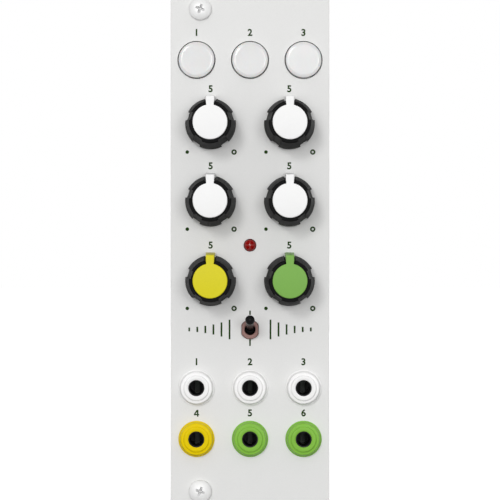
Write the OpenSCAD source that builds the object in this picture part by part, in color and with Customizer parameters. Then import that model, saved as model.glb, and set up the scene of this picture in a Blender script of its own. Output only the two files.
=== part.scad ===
// Delay module for a synthesiser rack of standard height: a painted panel with six knobs, three
// push buttons, a toggle switch, an indicator lamp and six sockets, and two stacked circuit boards.
//
// Pieces are drawn face up: x to the right, y up the panel and z out of its front, with z = 0 on
// the panel's rear face and x = y = 0 at the panel's middle. stand() turns them upright, front
// towards -Y, and puts the origin midway between the two rail screws on the panel's rear face.

/* [Panel] */
// Width of the panel
panel_w = 40.3; // [39.5:0.1:44]
// Height of the panel
panel_h = 128.5; // [127.5:0.1:130]
// Thickness of the panel
panel_t = 2; // [1.5:0.1:3]
// Radius of the panel's corners
panel_corner_r = 0.5; // [0.2:0.1:2]
// Distance of the rail screws from the panel's left edge
screw_inset = 7.5; // [6:0.1:9]
// Distance of the rail screws from the panel's ends
screw_rise = 3; // [3:0.1:4]

/* [Rail screws] */
// Radius of a rail screw's thread
rail_thread_r = 1.5; // [1.2:0.05:2]
// Depth of the relief that clears the thread from the panel
rail_relief = 0.3; // [0.2:0.05:0.5]
// Reach of a rail screw behind the panel
rail_reach = 6; // [3:0.5:10]
// Radius of a rail screw's head
rail_head_r = 2.8; // [2.4:0.1:3]
// Height of a rail screw's head
rail_head_h = 1.9; // [1.5:0.1:2.4]
// Height of the dome on a rail screw's head
rail_dome_h = 0.8; // [0.4:0.1:1.2]
// Length of the cross recess
cross_len = 2.8; // [2:0.1:3.6]
// Width of the cross recess's arms
cross_w = 0.7; // [0.5:0.05:0.9]
// Depth of the cross recess
cross_deep = 1.1; // [0.6:0.1:1.3]
// Turn of the cross recess, in degrees
cross_turn = 20; // [0:1:90]

/* [Knobs] */
// Distance of the knobs' two columns from the panel's middle
knob_x = 10; // [9.5:0.1:11]
// Heights of the knobs' three rows
knob_rows = [32, 12.4, -7.75]; // [-40:0.1:40]
// Gap between the panel and a knob
knob_gap = 0.8; // [0.5:0.1:1.5]
// Height of a knob's body
knob_h = 12; // [10:0.1:15]
// Height of the straight skirt at a knob's foot
skirt_h = 1.2; // [0.6:0.1:3]
// Thickness of the skirt around the nut
skirt_wall = 0.95; // [0.8:0.05:1.5]
// Thickness of a knob above its shaft
knob_roof = 1.6; // [1:0.1:2.5]
// Number of finger flutes, the pointer's place included
flute_count = 5; // [3:1:8]
// Width of a flute
flute_w = 2.1; // [1.8:0.1:3]
// Depth of a flute at the skirt's foot
flute_foot_deep = 0.5; // [0.3:0.05:0.6]
// Depth of a flute at the knob's top
flute_top_deep = 0.5; // [0.3:0.05:0.6]

/* [Pointer caps] */
// Radius of the coloured cap
cap_r = 4.35; // [4:0.05:4.6]
// Thickness of the coloured cap
cap_t = 1.3; // [1.1:0.1:1.8]
// Depth of the cap's seat in the knob
cap_seat = 0.9; // [0.6:0.1:1]
// Width of the knob's rim around the cap
cap_rim = 0.85; // [0.7:0.05:1.1]
// Chamfer round the rim
rim_chamfer = 0.2; // [0.1:0.05:0.4]
// Rounding of the cap's edge
cap_edge = 0.2; // [0.1:0.05:0.4]
// Width of the pointer at the cap
pointer_root_w = 1.8; // [1.5:0.1:2.2]
// Width of the pointer at its outer end, in front
pointer_tip_w = 2.1; // [1.6:0.1:2.4]
// Width of the pointer at its foot
pointer_foot_w = 2.45; // [2.2:0.05:3]
// Reach of the pointer's foot past the skirt
pointer_over = 0.7; // [0.4:0.1:1.2]
// Height of the pointer's foot above the skirt's edge
pointer_lift = 0.4; // [0.2:0.1:1]

/* [Potentiometers] */
// Radius of a shaft
shaft_r = 3; // [2.6:0.05:3.1]
// Depth of the flat on a shaft
shaft_flat = 1.5; // [0.8:0.1:2]
// Radius of a threaded bush
bush_r = 3.5; // [3.3:0.05:3.8]
// Length of thread left above the nut
bush_over = 0.4; // [0.2:0.1:1]
// Width of a potentiometer's housing
pot_w = 9.6; // [9:0.1:10]
// Height of a potentiometer's housing
pot_h = 11; // [10:0.1:12]
// Depth of a potentiometer's housing
pot_deep = 6.8; // [5.5:0.1:8]
// Thickness of the housing behind the shaft
pot_back = 2; // [1:0.1:3]
// Rounding of the housing's corners
pot_corner_r = 1.2; // [0.5:0.1:2]
// Pitch of the three terminals
term_pitch = 2.5; // [2:0.1:3]
// Distance of the terminals below the housing
term_drop = 1.5; // [1:0.1:2]
// Width of a terminal
term_w = 0.9; // [0.6:0.1:1.2]
// Thickness of a terminal or a lug
term_t = 0.4; // [0.3:0.05:0.6]
// Width of a mounting lug
lug_w = 2; // [1.5:0.1:2.5]
// Width of a nut across its flats
nut_across = 9; // [8.5:0.1:10]
// Thickness of a nut
nut_t = 1.8; // [1.2:0.1:2.2]
// Radius of a washer
washer_r = 4.9; // [4.4:0.1:5]
// Thickness of a washer
washer_t = 0.4; // [0.2:0.1:0.6]

/* [Buttons] */
// Distance of the outer buttons from the middle one
button_x = 13.6; // [13:0.1:14]
// Height of the buttons on the panel
button_y = 48.3; // [47:0.1:48.5]
// Radius of a button's cap
button_r = 4.55; // [4:0.05:5]
// Gap between a cap and its hole in the panel
button_gap = 0.25; // [0.15:0.05:0.4]
// Height of a cap in front of the panel
button_proud = 1.2; // [1:0.1:2]
// Travel of a button
button_travel = 0.9; // [0.5:0.1:1.2]
// Rounding of a cap's front edge
button_edge = 0.5; // [0.2:0.1:0.8]
// Thickness of a cap's walls
button_wall = 1; // [0.8:0.1:1.4]
// Width of the flange that keeps a cap in the panel
button_lip = 0.75; // [0.5:0.05:1]
// Thickness of that flange
button_lip_t = 1; // [0.6:0.1:1.4]
// Radius of a button's stem
stem_r = 2.2; // [2:0.05:2.5]
// Wall of the hollow stem
stem_wall = 0.85; // [0.6:0.05:1]
// Length of the stem inside the cap
stem_in_cap = 1.6; // [1:0.1:1.8]
// Width of a switch's housing
switch_w = 8; // [7:0.1:9]
// Height of a switch's housing
switch_h = 4.6; // [4:0.1:5.5]
// Distance of a switch's legs from its middle
switch_leg_x = 3.2; // [2.5:0.1:3.4]
// Thickness of the housing's floor
switch_floor = 0.5; // [0.4:0.1:1]
// Radius of the lamp inside a stem
button_lamp_r = 0.95; // [0.7:0.05:1.1]
// Height of the lamp inside a stem
button_lamp_h = 2; // [1.2:0.1:2.5]

/* [Sockets] */
// Distance of the outer sockets from the middle one
jack_x = 13.6; // [13:0.1:14]
// Heights of the sockets' two rows
jack_rows = [-35, -48]; // [-48.2:0.1:-34]
// Radius of the bore that takes the plug
jack_bore_r = 1.8; // [1.6:0.05:1.9]
// Thickness of the housing at the bore's end
jack_floor = 1; // [0.6:0.1:2]
// Radius of the threaded neck
jack_neck_r = 3; // [2.8:0.05:3.2]
// Height of the neck in front of the panel
jack_neck_proud = 1.9; // [1.5:0.1:2.5]
// Width of a socket's housing
jack_w = 9; // [8:0.1:10]
// Reach of the housing above the bore's axis
jack_up = 4.6; // [4.2:0.1:5]
// Reach of the housing below the bore's axis
jack_down = 5.6; // [5:0.1:5.8]
// Width of a contact spring
contact_w = 1; // [0.8:0.1:1.1]
// Width of a contact's pin
contact_pin_w = 0.8; // [0.6:0.1:1]
// Thickness of a contact spring
contact_t = 0.25; // [0.2:0.05:0.4]
// Reach of the tip's contact in front of the board
tip_reach = 4.5; // [3:0.1:5]
// Reach of the sleeve's contact in front of the board
sleeve_reach = 8; // [6:0.1:8.5]
// Distance of the contact pins from the bore's axis
contact_out = 3.6; // [3:0.1:3.8]

/* [Socket rings] */
// Radius of a ring's flange
ring_r = 4.6; // [4.5:0.05:5]
// Thickness of a ring's flange
ring_flange_t = 0.4; // [0.3:0.05:1]
// Rounding of the flange's edge
ring_flange_edge = 0.15; // [0.05:0.05:0.25]
// Radius of a ring's raised boss at its rim
ring_boss_r = 3.95; // [3.6:0.05:4.1]
// Widening of the boss from its rim to the flange
ring_draft_w = 0.4; // [0.1:0.05:0.5]
// Height of the boss in front of the panel
ring_boss_h = 2.25; // [2:0.05:3]
// Height of the crown round the hole above the boss
ring_crown_h = 0.5; // [0.3:0.05:0.8]
// Radius of the crown round the hole
ring_crown_r = 3.2; // [3.1:0.05:3.5]
// Radius of the hole in a ring
ring_hole_r = 2.05; // [1.95:0.05:2.2]
// Width of the flare round the hole
ring_flare_w = 0.45; // [0.3:0.05:0.6]
// Rounding of the boss's and the crown's edges
ring_edge = 0.25; // [0.1:0.05:0.3]

/* [Indicator lamp] */
// Height of the lamp on the panel
lamp_y = 1.2; // [-1:0.1:4]
// Radius of the lamp's lens
lamp_r = 1.5; // [1.2:0.05:2]
// Height of the lens in front of the panel
lamp_proud = 1.3; // [0.8:0.1:2]
// Thickness of the lens's flange behind the panel
lamp_flange_t = 1; // [0.6:0.1:1.5]
// Width of the lens's flange
lamp_flange_w = 0.4; // [0.3:0.05:0.6]
// Pitch of the two leads
lamp_pitch = 1.8; // [1.4:0.1:2.2]

/* [Toggle switch] */
// Height of the toggle on the panel
toggle_y = -20.2; // [-22:0.1:-18]
// Lean of the lever either side of straight out, in degrees
toggle_lean = 14; // [8:1:15]
// Length of the lever from its pivot to the middle of its tip
lever_len = 10.9; // [8:0.1:13]
// Radius of the lever's round tip
lever_tip_r = 1.2; // [1:0.05:1.5]
// Radius of the lever where it leaves the bushing
lever_neck_r = 0.7; // [0.5:0.02:0.72]
// Length of the lever's neck from its pivot
lever_neck_len = 2.5; // [2.4:0.1:3]
// Length of the flare above the neck
lever_flare = 1.2; // [0.8:0.1:2]
// Radius of the bat above the flare
bat_root_r = 0.92; // [0.8:0.02:1]
// Radius of the bat at its tip
bat_end_r = 1.04; // [0.9:0.02:1.1]
// Radius of the ball that the lever turns on
lever_ball_r = 1.3; // [1.2:0.05:1.4]
// Length of the lever behind its pivot
lever_tail = 2.2; // [1.5:0.1:2.5]
// Radius of the lever behind its pivot
lever_tail_r = 0.46; // [0.4:0.02:0.5]
// Radius of the bushing
bushing_r = 2.35; // [2.2:0.05:2.6]
// Width of the bushing across its two flats
bushing_flats = 4.1; // [3.8:0.05:4.3]
// Height of the bushing in front of the panel
bushing_proud = 1.4; // [1:0.1:2]
// Depth of the lever's pivot below the bushing's end
pivot_deep = 1.8; // [1.6:0.1:2]
// Width of the toggle's housing
toggle_w = 5; // [4.6:0.1:6]
// Height of the toggle's housing
toggle_h = 8; // [7:0.1:9]
// Depth of the toggle's housing
toggle_deep = 6.8; // [5:0.1:8]
// Pitch of the toggle's terminals
toggle_pitch = 2.54; // [2:0.02:3]

/* [Boards] */
// Distance from the panel to the control board
board_gap = 10; // [9:0.1:12]
// Distance between the two boards
stack_gap = 11; // [9:0.1:13]
// Thickness of a board
board_t = 1.6; // [1:0.1:2]
// Height of the boards
board_h = 108; // [108:0.1:110]
// Distance of a board's edge from the panel's edge
board_inset = 1.15; // [0.5:0.05:1.3]
// Rounding of the boards' corners
board_corner_r = 1; // [0.5:0.1:2]
// Length of a pin's tail past a board
pin_tail = 0.8; // [0.5:0.1:1.2]
// Distance of the spacers from the board's edge
spacer_inset = 3; // [2.9:0.1:3.4]
// Distance of the upper spacers below the buttons
spacer_drop = 7.3; // [7.2:0.1:8]
// Height of the lower spacers
spacer_low_y = -24; // [-24.5:0.1:-23]
// Width of a spacer across its flats
spacer_across = 5; // [4.5:0.1:5.2]
// Radius of a board screw's thread
board_screw_r = 1.25; // [1:0.05:1.5]
// Radius of a board screw's head
board_head_r = 2.3; // [2:0.1:2.5]
// Height of a board screw's head
board_head_h = 1.5; // [1:0.1:2]
// Height of the dome on a board screw's head
board_dome_h = 0.6; // [0.3:0.1:0.9]
// Length of a board screw's recess
board_cross_len = 2.3; // [1.6:0.1:2.8]
// Width of the arms of a board screw's recess
board_cross_w = 0.55; // [0.4:0.05:0.7]
// Depth of a board screw's recess
board_cross_deep = 0.75; // [0.4:0.05:0.9]
// Length of a board screw inside its spacer
board_screw_in = 4; // [2:0.1:4.4]

/* [Connectors] */
// Number of pins in each strip between the boards
strip_pins = 8; // [4:1:10]
// Pitch of the pins
pin_pitch = 2.54; // [2.5:0.01:2.6]
// Width of a square pin
pin_w = 0.64; // [0.5:0.02:0.7]
// Height of the strips' middle on the boards
strip_y = 10; // [0:0.1:14]
// Distance of the strips from the board's edge
strip_inset = 1.8; // [1.5:0.05:1.9]
// Height of the strip that holds the pins
strip_base_h = 2.5; // [2:0.1:3]
// Height of the power header on the board
power_y = -42; // [-46:0.1:-41]
// Number of pins in one row of the power header
power_pins_row = 5; // [4:1:5]
// Length of the shroud past its outer pins' centres
power_end = 5.07; // [4.6:0.01:5.2]
// Width of the shroud
power_w = 9.1; // [8.5:0.1:9.5]
// Depth of the shroud
power_h = 8.9; // [8:0.1:10]
// Thickness of the shroud's walls
power_wall = 1.3; // [1:0.1:1.5]
// Thickness of the shroud's floor
power_floor = 2.3; // [1.5:0.1:3]
// Width of the key slot in the shroud
power_key_w = 4.5; // [3.5:0.1:5]
// Distance of the pins' ends below the shroud's rim
power_pin_low = 1; // [0.5:0.1:2]

/* [Components] */
// Width of the processor chip
processor_w = 14; // [10:0.5:16]
// Height of the processor and the crystal on the board
processor_y = 10; // [9:0.1:11]
// Pitch of the processor's leads
processor_pitch = 0.8; // [0.65:0.05:1]
// Width of a processor's lead
processor_lead_w = 0.35; // [0.25:0.05:0.4]
// Bare length at the processor's corners
processor_corner = 0.6; // [0.4:0.1:1]
// Thickness of the chips
chip_t = 1.5; // [1:0.1:2.5]
// Radius of the dimple beside a chip's first pin
dimple_r = 0.5; // [0.3:0.05:0.7]
// Distance of the dimple from the chip's edges
dimple_inset = 1; // [0.8:0.1:1.4]
// Depth of the dimple
dimple_deep = 0.15; // [0.05:0.05:0.3]
// Pitch of the other chips' leads
lead_pitch = 1.27; // [1:0.01:1.3]
// Width of the other chips' leads
lead_w = 0.42; // [0.3:0.02:0.5]
// Thickness of a lead
lead_t = 0.2; // [0.15:0.05:0.3]
// Distance of a lead's bend from its chip
lead_knee = 0.6; // [0.4:0.1:0.8]
// Reach of a lead past its chip
lead_reach = 1.5; // [1.2:0.1:1.6]
// Height of the converter on the board
converter_y = -10; // [-11:0.1:-9]
// Length of the converter chip
converter_l = 18; // [14:0.5:20]
// Width of the converter chip
converter_w = 7.5; // [6:0.1:8]
// Length of an amplifier chip
amplifier_l = 8.6; // [7:0.1:9]
// Width of an amplifier chip
amplifier_w = 3.9; // [3:0.1:4.5]
// Distance of the amplifiers from the board's middle
amplifier_x = 7; // [6.5:0.1:7.5]
// Heights of the amplifiers' two rows
amplifier_rows = [28, 38]; // [27:0.1:39]
// Distance of the regulators from the board's middle
regulator_x = 14.6; // [14.4:0.1:15]
// Width of a regulator
regulator_w = 6.6; // [5.5:0.1:6.8]
// Length of a regulator
regulator_l = 6.1; // [5:0.1:7]
// Thickness of a regulator
regulator_t = 2.3; // [1.5:0.1:3]
// Width of a regulator's tab
tab_w = 5.4; // [4.5:0.1:5.4]
// Reach of a regulator's tab past its housing
tab_reach = 1.2; // [0.8:0.1:1.6]
// Thickness of a regulator's tab and legs
tab_t = 0.5; // [0.4:0.05:0.7]
// Distance of a regulator's legs from its middle
leg_x = 2.3; // [1.8:0.1:2.4]
// Width of a regulator's leg
leg_w = 0.8; // [0.6:0.1:1]
// Reach of a regulator's legs past its housing
leg_reach = 2.7; // [2:0.1:3]
// Distance of the crystal from the board's middle
crystal_x = 12; // [11.9:0.1:12.6]
// Width of the flange round the crystal's can
crystal_flange_w = 0.4; // [0.3:0.05:0.6]
// Thickness of the flange round the crystal's can
crystal_flange_t = 0.5; // [0.3:0.1:0.8]
// Length of the crystal's can
crystal_l = 11; // [9:0.1:12]
// Width of the crystal's can
crystal_w = 4.6; // [3.8:0.1:5]
// Height of the crystal's can
crystal_h = 3.5; // [2.5:0.1:4]
// Pitch of the capacitors
capacitor_pitch = 9; // [8:0.1:9.5]
// Number of capacitors
capacitor_count = 4; // [2:1:4]
// Height of the capacitors on the board
capacitor_y = -31.5; // [-32:0.1:-30]
// Radius of a capacitor's can
capacitor_r = 3.15; // [2.5:0.05:3.3]
// Height of a capacitor's can
capacitor_h = 5.2; // [4:0.1:8]
// Width of a capacitor's base
capacitor_base_w = 6.6; // [6.6:0.1:7]
// Thickness of a capacitor's base
capacitor_base_t = 0.7; // [0.5:0.1:1]
// Length cut off two corners of a capacitor's base
capacitor_base_cut = 1.3; // [0.8:0.1:1.6]
// Radius of the groove rolled into a can
capacitor_groove_r = 0.38; // [0.2:0.02:0.5]
// Distance of the groove from the base
capacitor_groove_up = 1.15; // [0.9:0.05:1.6]

/* [Clearances] */
// Running gap round a turning or sliding shaft
run_gap = 0.05; // [0.03:0.01:0.08]
// Gap between pieces that are pushed together
push_gap = 0.02; // [0.01:0.005:0.04]
// Gap round what passes through a hole
pass_gap = 0.1; // [0.05:0.01:0.15]
// Gap round a pin in a board or a strip
pin_gap = 0.06; // [0.03:0.01:0.1]
// Gap between pieces that must not touch
clear_gap = 0.3; // [0.2:0.05:0.4]

/* [Hidden] */
$fn = 64;
eps = 0.5;

panel_mid_x = panel_w / 2 - screw_inset;
screw_x = -panel_mid_x;
screw_span = panel_h - 2 * screw_rise;
rail_neck_r = rail_thread_r - rail_relief;
rail_hole_r = rail_thread_r + pass_gap;

knob_names = ["time", "filter", "feedback", "fidelity", "input", "mix"];
cap_colours = ["white", "white", "white", "white", "gold", "yellowgreen"];
knob_places = [for (y = knob_rows) for (side = [-1, 1]) [side * knob_x, y]];
nut_corner_r = nut_across / 2 / cos(30);
hollow_r = nut_corner_r + clear_gap;
skirt_r = hollow_r + skirt_wall;
bush_top = panel_t + washer_t + nut_t + bush_over;
knob_foot = panel_t + knob_gap;
hollow_h = bush_top + clear_gap - knob_foot;
cap_floor = knob_h - cap_seat;
bore_top = cap_floor - knob_roof;
knob_top_r = cap_r + pass_gap + cap_rim;
flute_foot_r = skirt_r - flute_foot_deep;
flute_top_r = knob_top_r - flute_top_deep;
flute_lean = atan((flute_foot_r - flute_top_r) / knob_h);
pot_bore_r = shaft_r + run_gap;
shaft_back = pot_back - pot_deep + clear_gap;

button_names = ["left", "middle", "right"];
button_places = [for (side = [-1, 0, 1]) [side * button_x, button_y]];
cap_front = panel_t + button_proud;
lip_front = -clear_gap;
cap_back = lip_front - button_lip_t;
stem_top = cap_back + stem_in_cap;
switch_top = switch_h - board_gap;
switch_cavity_z = switch_floor - board_gap;
stem_back = switch_cavity_z + button_travel + clear_gap;

jack_places = [for (y = jack_rows) for (side = [-1, 0, 1]) [side * jack_x, y]];
neck_top = panel_t + jack_neck_proud;
white_jacks = [0, 1, 2];
yellow_jacks = [3];
green_jacks = [4, 5];
contact_pocket_w = contact_w + 2 * pass_gap;
contact_face = jack_bore_r + pass_gap;
tip_front = tip_reach - board_gap;
sleeve_front = sleeve_reach - board_gap;

bushing_top = panel_t + bushing_proud;
pivot_z = bushing_top - pivot_deep;
toggle_top = toggle_deep - board_gap;
toggle_bore_r = lever_ball_r + pass_gap;

board_w = panel_w - 2 * board_inset;
control_front = -board_gap;
control_back = control_front - board_t;
main_front = control_back - stack_gap;
main_back = main_front - board_t;
control_tail = control_back - pin_tail;
main_tail = main_back - pin_tail;
spacer_x = board_w / 2 - spacer_inset;
spacer_rows = [button_y - spacer_drop, spacer_low_y];
spacer_places = [for (y = spacer_rows) for (side = [-1, 1]) [side * spacer_x, y]];
strip_x = board_w / 2 - strip_inset;
strip_len = strip_pins * pin_pitch;
socket_back = main_front + strip_base_h;
strip_pin_places = [for (side = [-1, 1]) for (i = [0 : strip_pins - 1])
    [side * strip_x, strip_y + (i - (strip_pins - 1) / 2) * pin_pitch]];
power_l = (power_pins_row - 1) * pin_pitch + 2 * power_end;
power_pin_places = [for (row = [-1, 1]) for (i = [0 : power_pins_row - 1])
    [(i - (power_pins_row - 1) / 2) * pin_pitch, power_y + row * pin_pitch / 2]];
power_pin_end = main_back - power_h + power_pin_low;

processor_place = [0, processor_y];
converter_place = [0, converter_y];
crystal_place = [-crystal_x, processor_y];
amplifier_places = [for (y = amplifier_rows) for (side = [-1, 1]) [side * amplifier_x, y]];
regulator_places = [for (side = [-1, 1]) [side * regulator_x, power_y]];
capacitor_places = [for (i = [0 : capacitor_count - 1])
    [(i - (capacitor_count - 1) / 2) * capacitor_pitch, capacitor_y]];

// Upright, front towards -Y, with the origin between the rail screws
module stand() {
    translate([panel_mid_x, 0, 0])
        rotate([90, 0, 0])
            children();
}

// One copy at each place of a list
module at_each(places) {
    for (place = places)
        translate([place[0], place[1], 0])
            children();
}

// A cylinder between two heights
module rod(r, from, to) {
    translate([0, 0, from])
        cylinder(r = r, h = to - from);
}

// A block on the z axis between two heights
module block(w, h, from, to) {
    translate([-w / 2, -h / 2, from])
        cube([w, h, to - from]);
}

// A block with round corners between two heights
module plate(w, h, r, from, to) {
    translate([0, 0, from])
        linear_extrude(to - from)
            union() {
                square([w - 2 * r, h], center = true);
                square([w, h - 2 * r], center = true);
                for (side = [-1, 1], end = [-1, 1])
                    translate([side * (w / 2 - r), end * (h / 2 - r)])
                        circle(r);
            }
}

// A disc with a round front edge, between two heights
module round_disc(r, edge, from, to) {
    translate([0, 0, from])
        rotate_extrude()
            union() {
                square([r - edge, to - from]);
                square([r, to - from - edge]);
                translate([r - edge, to - from - edge])
                    circle(edge);
            }
}

// A low domed screw head with its seat at z = 0
module pan_head(r, h, drop) {
    dome_r = (r * r + drop * drop) / (2 * drop);
    rotate_extrude()
        intersection() {
            square([r, h]);
            translate([0, h - dome_r])
                circle(dome_r, $fn = 128);
        }
}

// The bushing's section, round with a flat on either side, with a gap around it
module bushing_section(gap, from, to) {
    intersection() {
        rod(bushing_r + gap, from, to);
        block(bushing_flats + 2 * gap, 2 * (bushing_r + gap) + eps, from, to);
    }
}

// The cross recess of a screw head whose top is at z = 0
module cross_recess(len, w, deep) {
    for (turn = [0, 90])
        rotate([0, 0, turn])
            block(len, w, -deep, eps);
}

module front_panel() {
    color("gainsboro")
        stand()
            difference() {
                plate(panel_w, panel_h, panel_corner_r, 0, panel_t);
                for (end = [-1, 1])
                    translate([screw_x, end * screw_span / 2, 0])
                        rod(rail_hole_r, -eps, panel_t + eps);
                at_each(button_places)
                    rod(button_r + button_gap, -eps, panel_t + eps);
                at_each(knob_places)
                    rod(bush_r + pass_gap, -eps, panel_t + eps);
                at_each(jack_places)
                    rod(jack_neck_r + pass_gap, -eps, panel_t + eps);
                translate([0, lamp_y, 0])
                    rod(lamp_r + pass_gap, -eps, panel_t + eps);
                translate([0, toggle_y, 0])
                    bushing_section(pass_gap, -eps, panel_t + eps);
            }
}

module rail_screws() {
    color("whitesmoke")
        stand()
            for (end = [-1, 1])
                translate([screw_x, end * screw_span / 2, 0])
                    union() {
                        difference() {
                            translate([0, 0, panel_t])
                                pan_head(rail_head_r, rail_head_h, rail_dome_h);
                            translate([0, 0, panel_t + rail_head_h])
                                rotate([0, 0, cross_turn])
                                    cross_recess(cross_len, cross_w, cross_deep);
                        }
                        rod(rail_neck_r, -rail_relief, panel_t);
                        rod(rail_thread_r, -rail_reach, -rail_relief);
                    }
}

// Radius of a flute's floor at a height above the knob's foot
function flute_floor(h) = flute_foot_r - h * tan(flute_lean);

// Skirt and tapered side, with a chamfer round the rim
module knob_turning() {
    rotate_extrude()
        polygon([
            [0, 0],
            [skirt_r, 0],
            [skirt_r, skirt_h],
            [knob_top_r, knob_h - rim_chamfer],
            [knob_top_r - rim_chamfer, knob_h],
            [0, knob_h]
        ]);
}

// A side view, drawn as [distance out, height] and given a width
module side_view(w) {
    rotate([90, 0, 90])
        translate([0, 0, -w / 2])
            linear_extrude(w)
                children();
}

// A straight-sided flute with a leaning floor, which runs up the side from skirt to rim
module knob_flute() {
    side_view(flute_w)
        polygon([
            [flute_floor(-eps), -eps],
            [skirt_r + eps, -eps],
            [skirt_r + eps, knob_h + eps],
            [flute_floor(knob_h + eps), knob_h + eps]
        ]);
}

// The slot that the pointer lies in, down the side and through the rim
module pointer_slot() {
    side_view(pointer_foot_w + 2 * pass_gap)
        polygon([
            [flute_floor(-eps), -eps],
            [skirt_r + pointer_over + eps, -eps],
            [skirt_r + pointer_over + eps, knob_h + eps],
            [cap_r - eps, knob_h + eps],
            [cap_r - eps, cap_floor],
            [flute_floor(cap_floor), cap_floor]
        ]);
}

// The round hole with a flat side that takes the shaft
module shaft_section(r, flat, from, to) {
    difference() {
        rod(r, from, to);
        translate([-r, -r - flat, from - eps])
            cube([2 * r, r, to - from + 2 * eps]);
    }
}

module knob_body(place) {
    color([0.16, 0.16, 0.17])
        stand()
            translate([place[0], place[1], knob_foot])
                difference() {
                    knob_turning();
                    for (i = [1 : flute_count - 1])
                        rotate([0, 0, i * 360 / flute_count])
                            knob_flute();
                    pointer_slot();
                    rod(hollow_r, -eps, hollow_h);
                    shaft_section(shaft_r + push_gap, shaft_r - shaft_flat + push_gap, 0, bore_top);
                    rod(cap_r + pass_gap, cap_floor, knob_h + eps);
                }
}

// The upright bar that runs from the cap's edge down the side of the knob, wider towards its foot
module pointer_bar() {
    root_r = cap_r - 2 * cap_edge;
    foot_r = skirt_r + pointer_over;
    cap_top = cap_floor + cap_t;
    intersection() {
        side_view(pointer_foot_w)
            polygon([
                [root_r, cap_top],
                [skirt_r, cap_top],
                [foot_r, pointer_lift],
                [flute_floor(pointer_lift) + push_gap, pointer_lift],
                [flute_floor(cap_floor) + push_gap, cap_floor + push_gap],
                [root_r, cap_floor + push_gap]
            ]);
        linear_extrude(cap_top)
            polygon([
                [-pointer_root_w / 2, root_r],
                [pointer_root_w / 2, root_r],
                [pointer_foot_w / 2, foot_r],
                [-pointer_foot_w / 2, foot_r]
            ]);
        translate([0, foot_r, 0])
            rotate([90, 0, 0])
                linear_extrude(foot_r)
                    polygon([
                        [-pointer_foot_w / 2, pointer_lift],
                        [pointer_foot_w / 2, pointer_lift],
                        [pointer_tip_w / 2, cap_top],
                        [-pointer_tip_w / 2, cap_top]
                    ]);
    }
}

module pointer_cap(place, colour) {
    color(colour)
        stand()
            translate([place[0], place[1], knob_foot])
                union() {
                    round_disc(cap_r, cap_edge, cap_floor, cap_floor + cap_t);
                    pointer_bar();
                }
}

module pot_shaft(place) {
    shaft_top = knob_foot + bore_top - clear_gap;
    color("silver")
        stand()
            translate([place[0], place[1], 0])
                union() {
                    rod(shaft_r, shaft_back, bush_top);
                    shaft_section(shaft_r, shaft_r - shaft_flat, bush_top, shaft_top);
                }
}

module pot_bodies() {
    color("darkgray")
        stand()
            at_each(knob_places)
                difference() {
                    union() {
                        plate(pot_w, pot_h, pot_corner_r, -pot_deep, 0);
                        rod(bush_r, -eps, bush_top);
                    }
                    rod(pot_bore_r, pot_back - pot_deep, bush_top + eps);
                }
}

// Three bent terminals below the housing and a straight lug on either side of it
module pot_pins(slack) {
    bend_z = -pot_deep / 2;
    pin_y = -pot_h / 2 - term_drop;
    for (i = [-1 : 1])
        translate([i * term_pitch, pin_y, 0])
            union() {
                block(term_w + 2 * slack, term_t + 2 * slack, control_tail, bend_z);
                translate([0, (term_drop - term_t / 2) / 2, 0])
                    block(term_w, term_drop + term_t / 2, bend_z - term_t, bend_z);
            }
    for (side = [-1, 1])
        translate([side * (pot_w / 2 + term_t / 2), 0, 0])
            block(term_t + 2 * slack, lug_w + 2 * slack, control_tail, bend_z);
}

module pot_terminals() {
    color("silver")
        stand()
            at_each(knob_places)
                pot_pins(0);
}

module pot_nuts() {
    nut_z = panel_t + washer_t;
    color("silver")
        stand()
            at_each(knob_places)
                difference() {
                    translate([0, 0, nut_z])
                        cylinder(r = nut_corner_r, h = nut_t, $fn = 6);
                    rod(bush_r + push_gap, nut_z - eps, nut_z + nut_t + eps);
                }
}

module pot_washers() {
    color("lightgray")
        stand()
            at_each(knob_places)
                difference() {
                    rod(washer_r, panel_t, panel_t + washer_t);
                    rod(bush_r + pass_gap, panel_t - eps, panel_t + washer_t + eps);
                }
}

// A hollow round cap with a flange behind the panel and a collar for the stem
module button_cap(place) {
    skin_z = cap_front - button_wall;
    color("white")
        stand()
            translate([place[0], place[1], 0])
                difference() {
                    union() {
                        round_disc(button_r, button_edge, cap_back, cap_front);
                        rod(button_r + button_lip, cap_back, lip_front);
                    }
                    difference() {
                        rod(button_r - button_wall, cap_back - eps, skin_z);
                        rod(stem_r + button_wall, cap_back - 2 * eps, skin_z + eps);
                    }
                    rod(stem_r + push_gap, cap_back - eps, stem_top);
                    rod(stem_r - stem_wall, cap_back - eps, skin_z);
                }
}

module button_stem(place) {
    color("ghostwhite")
        stand()
            translate([place[0], place[1], 0])
                difference() {
                    rod(stem_r, stem_back, stem_top);
                    rod(stem_r - stem_wall, stem_back - eps, stem_top + eps);
                }
}

// Four flat legs, two on the upper side of a housing and two on the lower
module switch_legs(slack) {
    for (side = [-1, 1], end = [-1, 1])
        translate([side * switch_leg_x, end * (switch_w + term_t) / 2, 0])
            block(term_w + 2 * slack, term_t + 2 * slack, control_tail, control_front + switch_h / 2);
}

module button_switches() {
    color("dimgray")
        stand()
            at_each(button_places)
                union() {
                    difference() {
                        block(switch_w, switch_w, control_front, switch_top);
                        rod(stem_r + run_gap, switch_cavity_z, switch_top + eps);
                    }
                    switch_legs(0);
                }
}

module button_lamps() {
    dome_z = switch_cavity_z + button_lamp_h - button_lamp_r;
    color("ivory")
        stand()
            at_each(button_places)
                union() {
                    rod(button_lamp_r, switch_cavity_z, dome_z);
                    translate([0, 0, dome_z])
                        sphere(button_lamp_r);
                }
}

// The pocket of a contact: the tip's below the bore, the sleeve's above it
module contact_pocket(side, front) {
    pocket_h = contact_out + term_t + pass_gap;
    translate([0, side * pocket_h / 2, 0])
        block(contact_pocket_w, pocket_h, control_front - eps, front + pass_gap);
}

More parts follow.
